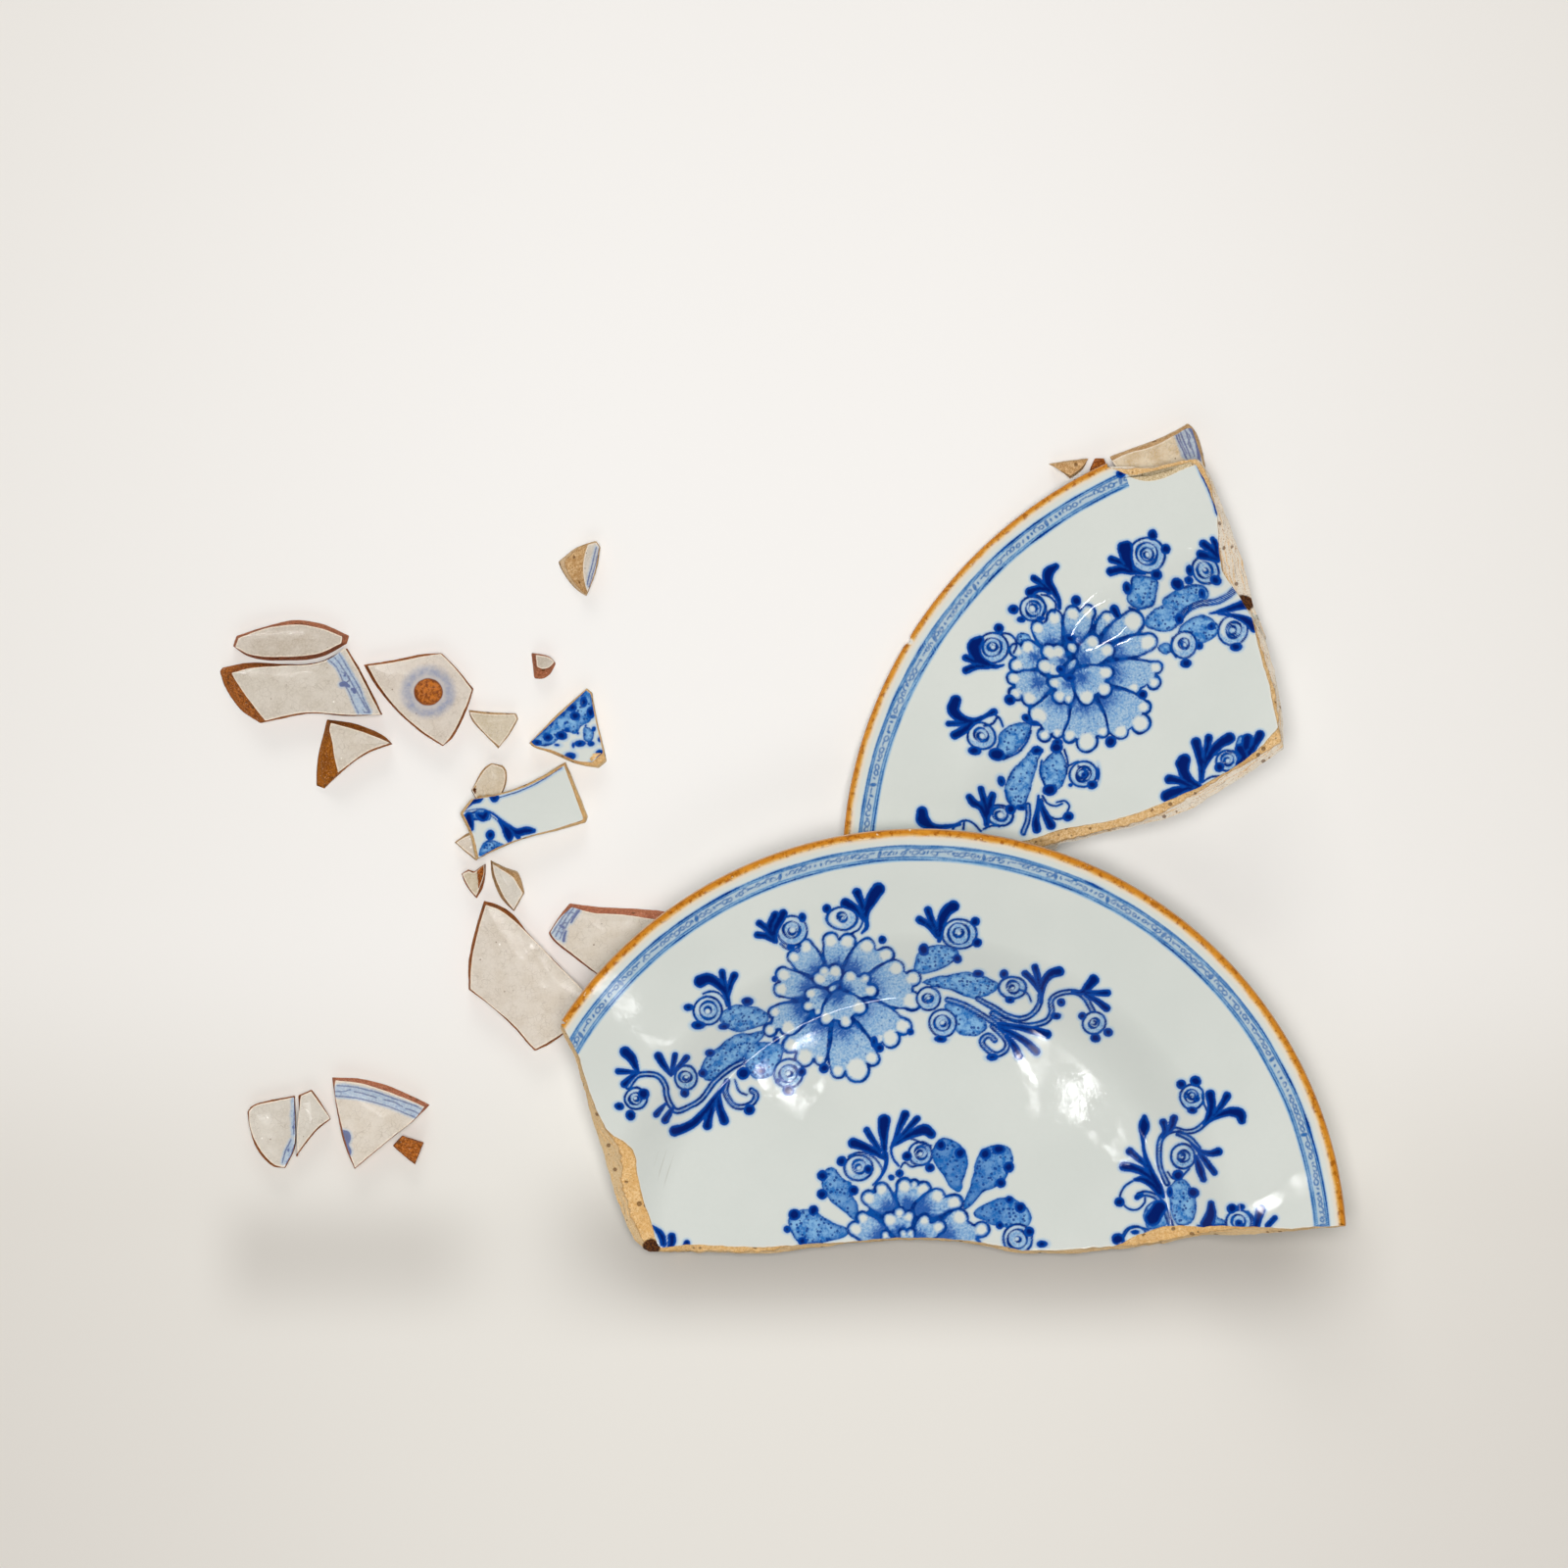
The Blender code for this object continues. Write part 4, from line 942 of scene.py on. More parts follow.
# lines of the brush's tip, and strokes of its whole width
pen = coat(given["Pen"], rough_edge, 0.32, -0.26)
thinned = cloud(where, 3.4, 3.0, 0.6, 0.34, 0.66)
pen_tone = blend(thinned, painted(0, 42, 120), painted(8, 80, 164))
colour = blend(pen, colour, pen_tone)
brush = coat(given["Brush"], rough_edge, 0.26, -0.26)
pooled = coat(given["Brush"], mottled(1.6, 2.6), -0.3, -1.5)
brush_tone = blend(pooled, painted(4, 70, 160), painted(0, 28, 104))
colour = blend(brush, colour, brush_tone)
cobalt.links.new(colour, result["Colour"])
cobalt.links.new(sums("MAXIMUM", pen, brush), result["Painted"])

# Ochre on the rim: a brown line brushed on the very edge, orange where it is thin, burnt dark
# outside, and worn through here and there
ochre, given, result = group(
    "ochre_rim", [("Where", VECTOR), ("Glaze", COLOUR), ("Reach", VALUE)], [("Colour", COLOUR)]
)
where = given["Where"]
waver = swayed_by(noise(where, 7.0, 3.0, 0.6), 1.2)
swayed = plus(given["Reach"], waver)
warm = blend(ramp(swayed, 169.6, 171.6, 0.0, 0.9), given["Glaze"], painted(232, 218, 198))
tone = blend(ramp(swayed, 172.0, 173.3), painted(228, 182, 104), painted(206, 132, 36))
brushed_on = noise(where, 2.6, 4.0, 0.7)
tone = blend(ramp(brushed_on, 0.48, 0.62, 0.0, 0.85), tone, painted(160, 88, 10))
tone = blend(cloud(where, 9.0, 3.0, 0.6, 0.54, 0.7, 0.0, 0.7), tone, painted(222, 150, 48))
tone = blend(ramp(swayed, 174.1, 174.7, 0.0, 0.5), tone, painted(140, 84, 28))
tone = blend(ramp(given["Reach"], 174.4, 174.9, 0.0, 0.6), tone, painted(226, 184, 132))
colour = blend(ramp(swayed, 171.2, 172.5), warm, tone)
worn = times(cloud(where, 3.0, 3.0, 0.6, 0.66, 0.72), ramp(swayed, 172.2, 172.8))
colour = blend(worn, colour, painted(234, 214, 178))
ochre.links.new(colour, result["Colour"])

# Raw broken clay: sandy near the glaze, paler and layered along the outer half of the break,
# pocked with holes, with iron and soot in places
tree, given, result = group(
    "broken_clay",
    [("Where", VECTOR), ("Clay", COLOUR), ("Shade", COLOUR), ("Outer", COLOUR), ("Depth", VALUE),
     ("Course", VALUE), ("Flake", VALUE), ("Soot", VALUE)],
    [("Colour", COLOUR), ("Roughness", VALUE), ("Height", VALUE)],
)
where = given["Where"]
sandy = noise(where, 1.0, 4.0, 0.7)
blotch = noise(where, 6.5, 4.0, 0.65)
inner = blend(ramp(sandy, 0.36, 0.64), given["Shade"], given["Clay"])
inner = blend(ramp(blotch, 0.46, 0.66, 0.0, 0.7), inner, given["Shade"])
layers = add_node(
    tree, "ShaderNodeCombineXYZ",
    {"X": times(given["Course"], 0.09), "Y": times(given["Depth"], 11.0)},
)
streaks = noise(layers.outputs[0], 1000.0, 4.0, 0.6)
outer = blend(ramp(streaks, 0.34, 0.5), inner, given["Outer"])
outer = blend(ramp(streaks, 0.58, 0.7, 0.0, 0.5), outer, painted(120, 88, 56))
ragged = plus(given["Depth"], swayed_by(blotch, 0.3))
beyond = less(ragged, given["Flake"])
colour = blend(ramp(beyond, -0.03, 0.05), inner, outer)
under_glaze = ramp(plus(given["Depth"], times(blotch, 0.2)), 0.2, 0.1, 0.0, 0.6)
colour = blend(under_glaze, colour, blend(0.6, given["Shade"], painted(70, 44, 28)))
ledge = ramp(sums("ABSOLUTE", beyond), 0.05, 0.0, 0.0, 0.5)
colour = blend(ledge, colour, painted(132, 92, 56))
away, pick, size = specks(where, 400.0)
hole_edge = less(away, times(size, 0.42))
hole = times(ramp(hole_edge, 0.1, -0.04), ramp(pick, 0.74, 0.78))
colour = blend(times(hole, 0.75), colour, painted(96, 60, 30))
grit = noise(where, 0.55, 2.0, 0.6)
dark_grit = blend(0.4, given["Shade"], painted(110, 70, 34))
pale_grit = blend(0.5, given["Clay"], painted(250, 232, 204))
colour = blend(ramp(grit, 0.44, 0.32, 0.0, 0.8), colour, dark_grit)
colour = blend(ramp(grit, 0.6, 0.7, 0.0, 0.6), colour, pale_grit)
iron = cloud(where, 2.4, 5.0, 0.75, 0.6, 0.7, 0.0, 0.5)
colour = blend(iron, colour, painted(160, 104, 54))
sooty = ramp(plus(given["Soot"], swayed_by(blotch, 0.6)), 0.35, 0.6)
soot_tone = blend(ramp(sandy, 0.4, 0.62), painted(52, 32, 24), painted(116, 70, 34))
colour = blend(sooty, colour, soot_tone)
tree.links.new(colour, result["Colour"])
tree.links.new(ramp(sandy, 0.2, 0.8, 0.75, 0.95), result["Roughness"])
tree.links.new(less(plus(sandy, times(blotch, 1.5)), hole), result["Height"])
broken_clay = tree


def shared(tree, nodes, sockets):
    """A shader node group in a material, with its sockets filled."""
    made = tree.nodes.new("ShaderNodeGroup")
    made.node_tree = nodes
    for key, value in sockets.items():
        if isinstance(value, bpy.types.NodeSocket):
            tree.links.new(value, made.inputs[key])
        else:
            made.inputs[key].default_value = value
    return made.outputs


def carried(tree, label):
    """A value that the mesh carries at each point."""
    return add_node(tree, "ShaderNodeAttribute", attribute_name=label).outputs["Fac"]


def finished(tree, shader, colour, roughness, height, strength, distance):
    """Links a finish's colour, roughness and fine relief to the surface."""
    tree.links.new(colour, shader.inputs["Base Color"])
    tree.links.new(roughness, shader.inputs["Roughness"])
    relief = add_node(tree, "ShaderNodeBump", {"Height": height, "Strength": strength, "Distance": distance})
    tree.links.new(relief.outputs["Normal"], shader.inputs["Normal"])


def glazed_material(name, nodes, glaze, clouds, brushed=True, rim=True):
    """Glazed ware: the glaze, and on a painted face the cobalt and the ochre rim."""
    material = bpy.data.materials.new(name)
    material.use_nodes = True
    tree = material.node_tree
    shader = tree.nodes["Principled BSDF"]
    shader.inputs["IOR"].default_value = 1.52
    where = add_node(tree, "ShaderNodeTexCoord").outputs["Object"]
    base = shared(tree, nodes, {"Where": where, "Glaze": glaze, "Cloud": clouds, "Lip": carried(tree, "lip")})
    colour = base["Colour"]
    if brushed:
        reach = carried(tree, "reach") if rim else 0.0
        coats = {coat.replace("_", " ").capitalize(): carried(tree, coat) for coat in COATS}
        paint = shared(tree, cobalt, {"Where": where, "Glaze": colour, "Reach": reach, **coats})
        colour = paint["Colour"]
    if brushed and not rim:
        # cobalt fires greyer and thinner on the cream glaze
        colour = blend(0.35, colour, base["Colour"])
        colour = blend(times(paint["Painted"], 0.6), colour, painted(70, 92, 142))
    if brushed and rim:
        colour = shared(tree, ochre, {"Where": where, "Glaze": colour, "Reach": reach})["Colour"]
    finished(tree, shader, colour, base["Roughness"], base["Height"], 0.2, 0.00006)
    return material


def clay_material(name, clay, shade, outer):
    """Broken clay."""
    material = bpy.data.materials.new(name)
    material.use_nodes = True
    tree = material.node_tree
    shader = tree.nodes["Principled BSDF"]
    shader.inputs["Specular IOR Level"].default_value = 0.15
    where = add_node(tree, "ShaderNodeTexCoord").outputs["Object"]
    marks = {mark.capitalize(): carried(tree, mark) for mark in ("depth", "course", "flake", "soot")}
    body = shared(tree, broken_clay,
                  {"Where": where, "Clay": clay, "Shade": shade, "Outer": outer, **marks})
    finished(tree, shader, body["Colour"], body["Roughness"], body["Height"], 0.7, 0.0003)
    return material


white_painted = glazed_material(
    "white_painted_glaze", tin_glaze, painted(219, 222, 215), painted(211, 215, 208),
)
white_plain = glazed_material(
    "white_plain_glaze", tin_glaze, painted(208, 209, 200), painted(198, 198, 188), brushed=False,
)
buff_break = clay_material(
    "buff_break", painted(244, 206, 150), painted(222, 172, 104), painted(212, 184, 142),
)
pale_break = clay_material(
    "pale_buff_break", painted(240, 206, 156), painted(214, 168, 106), painted(230, 220, 204),
)


def sooted(x, y, spots):
    """How sooty a break is, from 0 to 1, round spots that each have a place and a radius."""
    soot = np.zeros_like(x)
    for spot_x, spot_y, radius in spots:
        soot = np.maximum(soot, np.clip(1.5 - np.hypot(x - spot_x, y - spot_y) / radius, 0, 1))
    return soot


def dish_sherd(name, glaze_edge, foot_edge, arc, columns, rows, pieces, place, seed, clay,
               painting, flakes, soot, flip=False, scar=None, fuller=None, border_from=0.0,
               chip_at=None):
    """A large sherd as two kinds of surface: the glaze, and the clay body under it.

    Each column is a straight line in plan from the rim's arc to the break. The glaze runs up
    over the rim's round edge, across the face at the dish's height, and turns down at the
    break. The body's section is a closed loop: under the glaze, down the rough break, back
    along the underside and the foot ring to the rim."""
    edge = chipped(along(glaze_edge, columns), seed, 0.55)
    foot = chipped(along(glaze_edge, columns, foot_edge), seed + 30, 0.7)
    angle = np.radians(np.linspace(*arc, columns))
    toward = np.stack([np.cos(angle), np.sin(angle)], 1)
    nick = np.ones((columns, 1))
    if chip_at is not None:
        # a small chip out of the rim, a millimetre deep
        nick -= 0.007 * np.exp(-(((np.degrees(angle) - chip_at) / 0.5) ** 2))[:, None]

    def ring_at(far_out, height):
        """A row of points along the rim."""
        return np.c_[toward * far_out * nick, np.full(columns, height)]

    def stand(points):
        """Points brought from the dish to where the sherd lies, and kept in its solid's box."""
        return kept_in(points @ place[:3, :3].T + place[:3, 3], name + "_sherd")

    # the glaze
    round_edge = np.radians(np.linspace(-25, 66, 6))
    rim_base = float(face_height(172.0)) - ROUND * math.sin(math.radians(78)) + 0.02
    rim_rows = [ring_at(RIM - ROUND + ROUND * math.cos(a), rim_base + ROUND * math.sin(a))
                for a in round_edge]
    start = toward * FACE_START * nick
    blend_in = np.linspace(0, 1, rows)[:, None, None]
    plan = start[None] * (1 - blend_in) + edge[None] * blend_in
    x, y = plan[..., 0], plan[..., 1]
    warp = grains(x, y, np.zeros_like(x), 11, (46.0, 0.16), (17.0, 0.05))
    height = face_height(np.hypot(x, y)) - 0.16 + warp
    face = np.concatenate([plan, height[..., None]], -1)
    out = sideways(edge) * (-1 if flip else 1)
    lips = []
    for drop, push in ((0.05, 0.1), (0.18, 0.2), (0.38, 0.24), (SKIN, 0.2)):
        lip = face[-1].copy()
        lip[:, :2] += out * push
        lip[:, 2] -= drop
        lips.append(lip)
    sheet = np.concatenate([np.stack(rim_rows), face, np.stack(lips)], 0)
    normals = grid_normals(sheet)
    turned = normals[len(rim_rows) + rows // 2, columns // 2, 2] < 0
    if turned:
        normals = -normals
    total_rows = len(sheet)
    x, y = sheet[..., 0], sheet[..., 1]
    far = np.hypot(x, y)
    # the ochre covers the whole round edge, and a chip bares it: 400 mm of reach for each share
    rim_count = len(rim_rows)
    far[:rim_count] = np.maximum(far[:rim_count], 173.2) - 400 * (1 - nick.T)
    # the border stops short where the maker left it
    bearing = np.arctan2(y, x) % (2 * math.pi)
    far = np.where(bearing < math.radians(border_from), np.minimum(far, 160.0), far)
    field = paint_field(x.ravel(), y.ravel())
    paint_dish(field, **painting)
    paint_band(field, far.ravel(), bearing.ravel(), seed + 3)
    if fuller is not None:
        # one flower was painted with a fuller brush
        heart_x, heart_y, radius = fuller
        away = np.hypot(field["x"] - heart_x, field["y"] - heart_y)
        field["shade"] += 0.15 * np.clip(1.5 - away / radius, 0, 1)
    marks = {key: field[key].reshape(total_rows, columns) for key in COATS}
    marks["reach"] = far
    from_break = np.hypot(x - edge[:, 0], y - edge[:, 1])
    marks["lip"] = np.clip(1 - from_break / 1.2, 0, 1)
    if scar is not None:
        # where the glaze has flaked off beside the break
        bare = signed(x.ravel(), y.ravel(), curve(scar, 4, closed=True)).reshape(far.shape)
        marks["lip"] = marks["lip"] + 2 * np.clip(0.5 - bare / 0.8, 0, 1)

    placed = stand(sheet)
    turned_normals = normals @ place[:3, :3].T
    cuts = np.linspace(0, columns - 1, pieces + 1).astype(int)
    for k, (first, last) in enumerate(zip(cuts, cuts[1:])):
        span = slice(first, last + 1)
        quads = grid_faces(total_rows, last + 1 - first)
        piece = make_piece(
            name + "_glaze" + (f"_{k + 1}" if pieces > 1 else ""),
            placed[:, span].reshape(-1, 3), quads[:, ::-1] if turned else quads,
            [white_painted], turned_normals[:, span].reshape(-1, 3),
            {key: values[:, span] for key, values in marks.items()},
        )
        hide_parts(name + "_sherd")

    # the body
    def spokes(end, radii, height_of):
        """Rows of points on the lines from the rim to the break, at the distances out from
        the dish's middle where each line crosses those circles, the last row at the break."""
        rim = toward * radii[0]
        step = end - rim
        a = (step**2).sum(1)
        b = 2 * (rim * step).sum(1)
        found = []
        for radius in radii[:-1]:
            square = b * b - 4 * a * ((rim**2).sum(1) - radius**2)
            t = np.where(square < 0, 1.0, (-b - np.sqrt(np.maximum(square, 0))) / (2 * a))
            found.append(rim + step * np.clip(t, 0, 1)[:, None])
        rows = np.stack([*found, end])
        return np.concatenate([rows, height_of(np.hypot(rows[..., 0], rows[..., 1]))[..., None]], -1)

    wall_of_dish = (139, *range(135, 107, -3))
    upper = spokes(edge, (BODY_START, 166, 158, 150, 144, *wall_of_dish, 105, 102, 96, 80, 60, 40, 20, 0),
                   lambda reach: face_height(reach) - 0.85)
    upper[-1, :, 2] = face[-1, :, 2] - SKIN + 0.08
    lower = spokes(foot, (BODY_START, 168, 160, 152, 144, *wall_of_dish, 104, 101.5, 100.8, 100, 98, 95, 93,
                          92.2, 90.5, 80, 60, 40, 20, 0), under_height)
    wall_steps = np.linspace(0, 1, 15)[1:-1]
    top_line, bottom_line = upper[-1], lower[-1]
    walls = []
    course = np.r_[0, np.cumsum(np.hypot(*np.diff(edge, axis=0).T))]
    stations, shares = np.array(flakes).T
    flake = np.interp(np.linspace(0, len(glaze_edge) - 1, columns), stations, shares)
    for t in wall_steps:
        # a flake leaves a shallow scoop beside the glaze, and the rest of the break is steep
        steep = 0.4 + 0.6 * (t - flake) / np.maximum(1 - flake, 0.05)
        fall = np.where(t < flake, 0.4 * t / np.maximum(flake, 0.05), steep)
        fall = np.where(flake < 0.06, t, fall)
        row = top_line * (1 - t) + bottom_line * t
        row[:, 2] = top_line[:, 2] * (1 - fall) + bottom_line[:, 2] * fall
        rough = math.sin(math.pi * t) ** 0.5
        push = grains(*row.T, seed + 50, (7.0, 0.45), (2.2, 0.4), (0.9, 0.22))
        row[:, :2] += out * (push * rough)[:, None]
        row[:, 2] += 0.3 * rough * grain(*row.T, 1.6, seed + 60)
        walls.append(row)
    under_rim = float(under_height(BODY_START)) + 0.6
    rim_out = [ring_at(174.7, under_rim), ring_at(174.9, rim_base - 0.6), ring_at(174.6, rim_base + 0.5)]
    loop = np.concatenate([upper, np.stack(walls), lower[::-1], np.stack(rim_out)], 0)
    quads = grid_faces(len(loop), columns, rows_close=True)
    wall_start, wall_end = len(upper), len(upper) + len(walls)
    finish = np.zeros((len(loop), columns - 1), int)
    finish[wall_start - 1 : wall_end] = 1
    depth = np.zeros((len(loop), columns))
    depth[wall_start:wall_end] = wall_steps[:, None]
    depth[wall_end] = 1.0
    body = make_piece(
        name + "_body", stand(loop).reshape(-1, 3), quads[:, ::-1] if turned else quads,
        [white_plain, clay], finish=finish.ravel(),
        marks={"depth": depth, "course": np.broadcast_to(course, depth.shape),
               "flake": np.broadcast_to(flake, depth.shape),
               "soot": sooted(loop[..., 0], loop[..., 1], soot)},
    )
    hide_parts(name + "_sherd")


half_high = np.array(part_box("half_sherd")[1]) * 1000
rim_end = 174.54  # how far right of the dish's axis the half's rim ends
half_place = np.eye(4)
half_place[:3, 3] = (half_high[0] - rim_end, half_high[1] - RIM, 0.0)
dish_sherd(
    "half", HALF_GLAZE_EDGE, HALF_FOOT_EDGE, (146.4, 4.4), 640, 298, 2, half_place, 21, buff_break,
    {"beds": HALF_BEDS, "petals": HALF_PETALS, "leaves": HALF_LEAVES, "stems": HALF_STEMS,
     "roses": HALF_ROSES, "lines": HALF_LINES, "commas": HALF_COMMAS, "dots": HALF_DOTS},
    flakes=[(0, 0.15), (5.5, 0.12), (6.5, 0.3), (8, 0.66), (13, 0.7), (16, 0.72), (17.6, 0.6),
            (18.4, 0), (32, 0), (33.6, 0.1), (35, 0.8), (38, 0.8), (40, 0.3), (41.5, 0), (45, 0)],
    soot=[(-109.5, 2.5, 3.6)], fuller=(3.0, 20.0, 40.0),
)


# --------------------------------------------------------------------
# The quarter of the dish. The same ware, leaning out on its foot ring and its rim, with the
# middle of its break raised, so that its inner corner stands above the half's rim.

QUARTER_GLAZE_EDGE = [
    (-66.5, 159.8), (-58.7, 156.5), (-48.5, 155.4), (-39.5, 157.4), (-31.5, 160.6), (-29.2, 159),
    (-25.4, 151), (-21.2, 139.8), (-21, 133.5), (-21, 122.9), (-20.9, 117.3), (-17.9, 112.2),
    (-13.5, 105.6), (-10.2, 99.7), (-8.4, 95.1), (-5.3, 81.7), (-1.4, 68.7), (2.2, 52.1),
    (-3.4, 45.7), (-12.3, 38.3), (-18.4, 34.4), (-31.4, 27.9), (-42.8, 23.3), (-55.5, 18.4),
    (-69.9, 15.2), (-86.4, 12.9), (-112, 6.4), (-145, 0.4), (-172.3, -4),
]
QUARTER_FOOT_EDGE = [
    (-66, 161), (-58, 161), (-48, 160.6), (-38.5, 162), (-29.3, 163), (-26.5, 160),
    (-22.5, 151), (-17.5, 137.5), (-15.5, 131), (-12.5, 121), (-11.5, 114.5), (-10.2, 107),
    (-8, 99), (-6.2, 93.5), (-4.6, 89), (-0.8, 77.5), (2.9, 61), (4, 44),
    (-4, 39), (-13, 33), (-20, 29), (-33, 21), (-46, 16.5), (-58, 14),
    (-73, 11), (-91, 7.5), (-114, 1), (-146, -4), (-172.4, -6.6),
]

QUARTER_BEDS = [(-82.6, 78.8, 17.6)]
QUARTER_PETALS = [
    [(-90.7, 88.5, 3.2), (-96.2, 94.8, 2.7), (-89.2, 98.9, 3.1)],
    [(-82.1, 90.9, 2.9), (-81.8, 100.6, 2.9), (-75.7, 101.3, 2.8)],
    [(-72.5, 89.6, 2.4), (-68.3, 99.6, 2.3), (-65.4, 100.2, 2.3)], [(-70, 88.4, 2.4), (-58.2, 98.6, 4.1)],
    [(-67.6, 86.3, 2), (-52.7, 90.3, 3.7)],
    [(-68.4, 77.9, 3.7), (-49.3, 79.5, 2.8), (-49.8, 72.9, 2.8), (-58.5, 71.1, 2.3)],
    [(-72.3, 68.3, 3.3), (-53.8, 62.6, 2.8), (-55.2, 55.9, 4.1), (-63.4, 52.6, 3.1)],
    [(-79.2, 66.5, 3.3), (-71.1, 53, 2.5), (-77.7, 49, 4.4), (-85.2, 51.7, 2.8)],
    [(-89, 68.4, 3.1), (-90.3, 53.1, 2.3), (-95.6, 52.3, 2.8), (-97.7, 60, 3.5)],
    [(-96.8, 72.9, 4), (-100.8, 66.4, 2.9), (-105.7, 68, 2.7), (-106.2, 74.2, 2.7)],
    [(-97.3, 83.1, 3.7), (-105.1, 79.5, 2.8), (-105.1, 85.6, 2.8), (-100.4, 86.9, 2.9)],
    [(-87.5, 82.1, 2.7), (-91.9, 85.2, 3.1), (-88.4, 85.6, 2.9), (-93.7, 79.5, 3.2), (-90.6, 78.2, 2.8)],
    [(-79, 83, 3.2), (-74.9, 90.1, 2.8), (-69.5, 87.2, 2.9)],
    [(-85.6, 73.1, 2.8), (-91, 73.4, 2.5), (-89.4, 68, 2.7), (-85.8, 67.1, 2)],
    [(-80.1, 75.9, 3.5), (-70.4, 78.1, 3.1), (-70.9, 70.9, 3.3), (-78.4, 67.9, 3.3)],
    [(-83.5, 86.9, 1.2), (-83.2, 87.4, 2.3)], [(-86.3, 77.9, 1.3), (-82.8, 82.3, 1.3)],
]
QUARTER_LEAVES = [
    [(-111.7, 53.1), (-105.8, 56.3), (-100.3, 56.8), (-101.6, 52.1), (-105.5, 46.2), (-111, 42.2),
     (-114.9, 42.9), (-113.3, 48.2)],
    [(-99.5, 47), (-96.8, 45.9), (-99.9, 36.1), (-101.8, 26.3), (-104.9, 21.3), (-108.7, 22.8),
     (-110.9, 29.5), (-109.4, 35.6), (-105.6, 40.7)],
    [(-92.7, 45), (-89, 46.1), (-86.3, 39.8), (-86.9, 32.8), (-90.2, 29.2), (-94.4, 29.7), (-97, 34.8),
     (-96.3, 41)],
    [(-57.1, 115.3), (-51.1, 115.8), (-47, 114), (-47.6, 109.3), (-49.8, 104.2), (-56.4, 103.3),
     (-60, 106.1), (-58.3, 110.9)],
    [(-40.9, 110.1), (-35, 112.7), (-29.5, 112.3), (-27, 110.1), (-28.5, 106.8), (-33.5, 104.3),
     (-39.3, 102), (-44.7, 103.5), (-45.9, 107.2)],
    [(-53.9, 97.9), (-52, 101.6), (-46.5, 105), (-40.7, 103.9), (-38.1, 100.1), (-41, 95.7), (-46, 94.3),
     (-52.4, 95.6)],
    [(-40.2, 95.3), (-35.3, 99.6), (-29.6, 101), (-24.6, 97.9), (-23.6, 92.9), (-28.5, 89.3),
     (-34.7, 89.2), (-38.9, 91.1)],
    [(-48.8, 87.3), (-46.7, 89.7), (-43.4, 89.2), (-42.9, 85.8), (-45.8, 84.7)],
    [(-105.3, 90.9), (-102.9, 92.9), (-99.7, 91.7), (-99.7, 88.5), (-103.7, 88.1)],
    [(-14.6, 48.6), (-10.5, 49.7), (-7.6, 48.4), (-7.9, 43.4), (-14.5, 43.7)],
]
QUARTER_STEMS = [
    [(-39, 100.1), (-36, 103.1), (-31, 105.2), (-24.5, 106), (-19.5, 108.1), (-16, 110.7)],
    [(-102.1, 23), (-102, 17.2), (-103.9, 11.4)],
]
QUARTER_ROSES = [
    (-98, 102.6, 5.2, 4.8, [3], 1.6), (-114.6, 86.5, 6.2, 6.2, [3.8, 1.8], 1.2),
    (-119.5, 50.1, 5.4, 5.4, [2.7], 1.4), (-50.6, 123.7, 7.4, 6.8, [4.4, 2.6], 1.2),
    (-27.3, 117.7, 5.2, 5, [3], 1), (-37.6, 88.5, 5.4, 5.6, [2.2], 1),
    (-17.1, 93.8, 6.2, 6.2, [3.2, 1.6], 0), (-79.1, 35.4, 5.8, 5.4, [3.2, 1.8], 0),
    (-113.1, 18.4, 5, 4.2, [2.8], 1.6), (-18.5, 38.9, 4.6, 4.4, [2.6], 1.2),
]
QUARTER_LINES = [
    [(-29, 160.2), (-27.3, 156.6), (-25.4, 152.1), (-23.5, 147.3), (-22, 142.9), (-20.7, 139)],
    [(-94.6, 108.2), (-91.4, 107.7), (-88.7, 104.9), (-89.1, 100.9)],
    [(-101.1, 106.6), (-97.1, 108.2), (-93.9, 106.1), (-93.1, 102.9), (-94.4, 99.3)],
    [(-111.3, 92.6), (-107.3, 91.7), (-104.9, 88.1), (-106.2, 84.5)],
    [(-118.3, 54.1), (-114.9, 55.5), (-113.3, 58)], [(-114.4, 59.5), (-112.2, 57.7), (-111.2, 54.7)],
    [(-100.8, 53.7), (-103.2, 48), (-107, 44.1), (-111.4, 41.3)],
    [(-37.6, 103.2), (-34.3, 104.8), (-38.6, 99.7)], [(-42.6, 92), (-43.4, 87.1), (-40.8, 83.2)],
    [(-96.3, 25.7), (-95, 20.2), (-90.7, 17), (-85.7, 17.4)],
    [(-96, 26.9), (-93.8, 23.5), (-90.4, 22.2), (-87.5, 23.3)],
    [(-90, 23.8), (-86.7, 24.5), (-84.6, 22.4), (-85.4, 19.9)],
    [(-119.1, 12.1), (-116, 13.9), (-113.1, 13.9)],
    [(-130.3, 11), (-128.1, 13.6), (-125.2, 15.1), (-122.7, 14.1), (-120.2, 11.1)],
    [(-125.9, 14.6), (-126.2, 11.3)], [(-28.1, 30.6), (-25.3, 32.2), (-21.6, 32.4)],
    [(-23.4, 41.6), (-20.2, 43.1), (-16.1, 42.9), (-12.8, 40.7)],
    [(-59.5, 103.6), (-56.5, 103), (-52.5, 104.2)], [(-109.2, 42.8), (-112.1, 41.7), (-114.9, 42.2)],
    [(-86.3, 38.6), (-83.8, 40.1), (-81.3, 40.9)], [(-110.9, 29.1), (-110.2, 25.1), (-108, 22)],
    [(-87.3, 46.1), (-85.9, 41.5), (-86.2, 35.7)], [(-96.7, 41.8), (-97.5, 36.1), (-95.3, 31.8)],
    [(-81.3, 38.8), (-78.7, 37.9), (-77, 35.3), (-78.6, 32.9)],
]
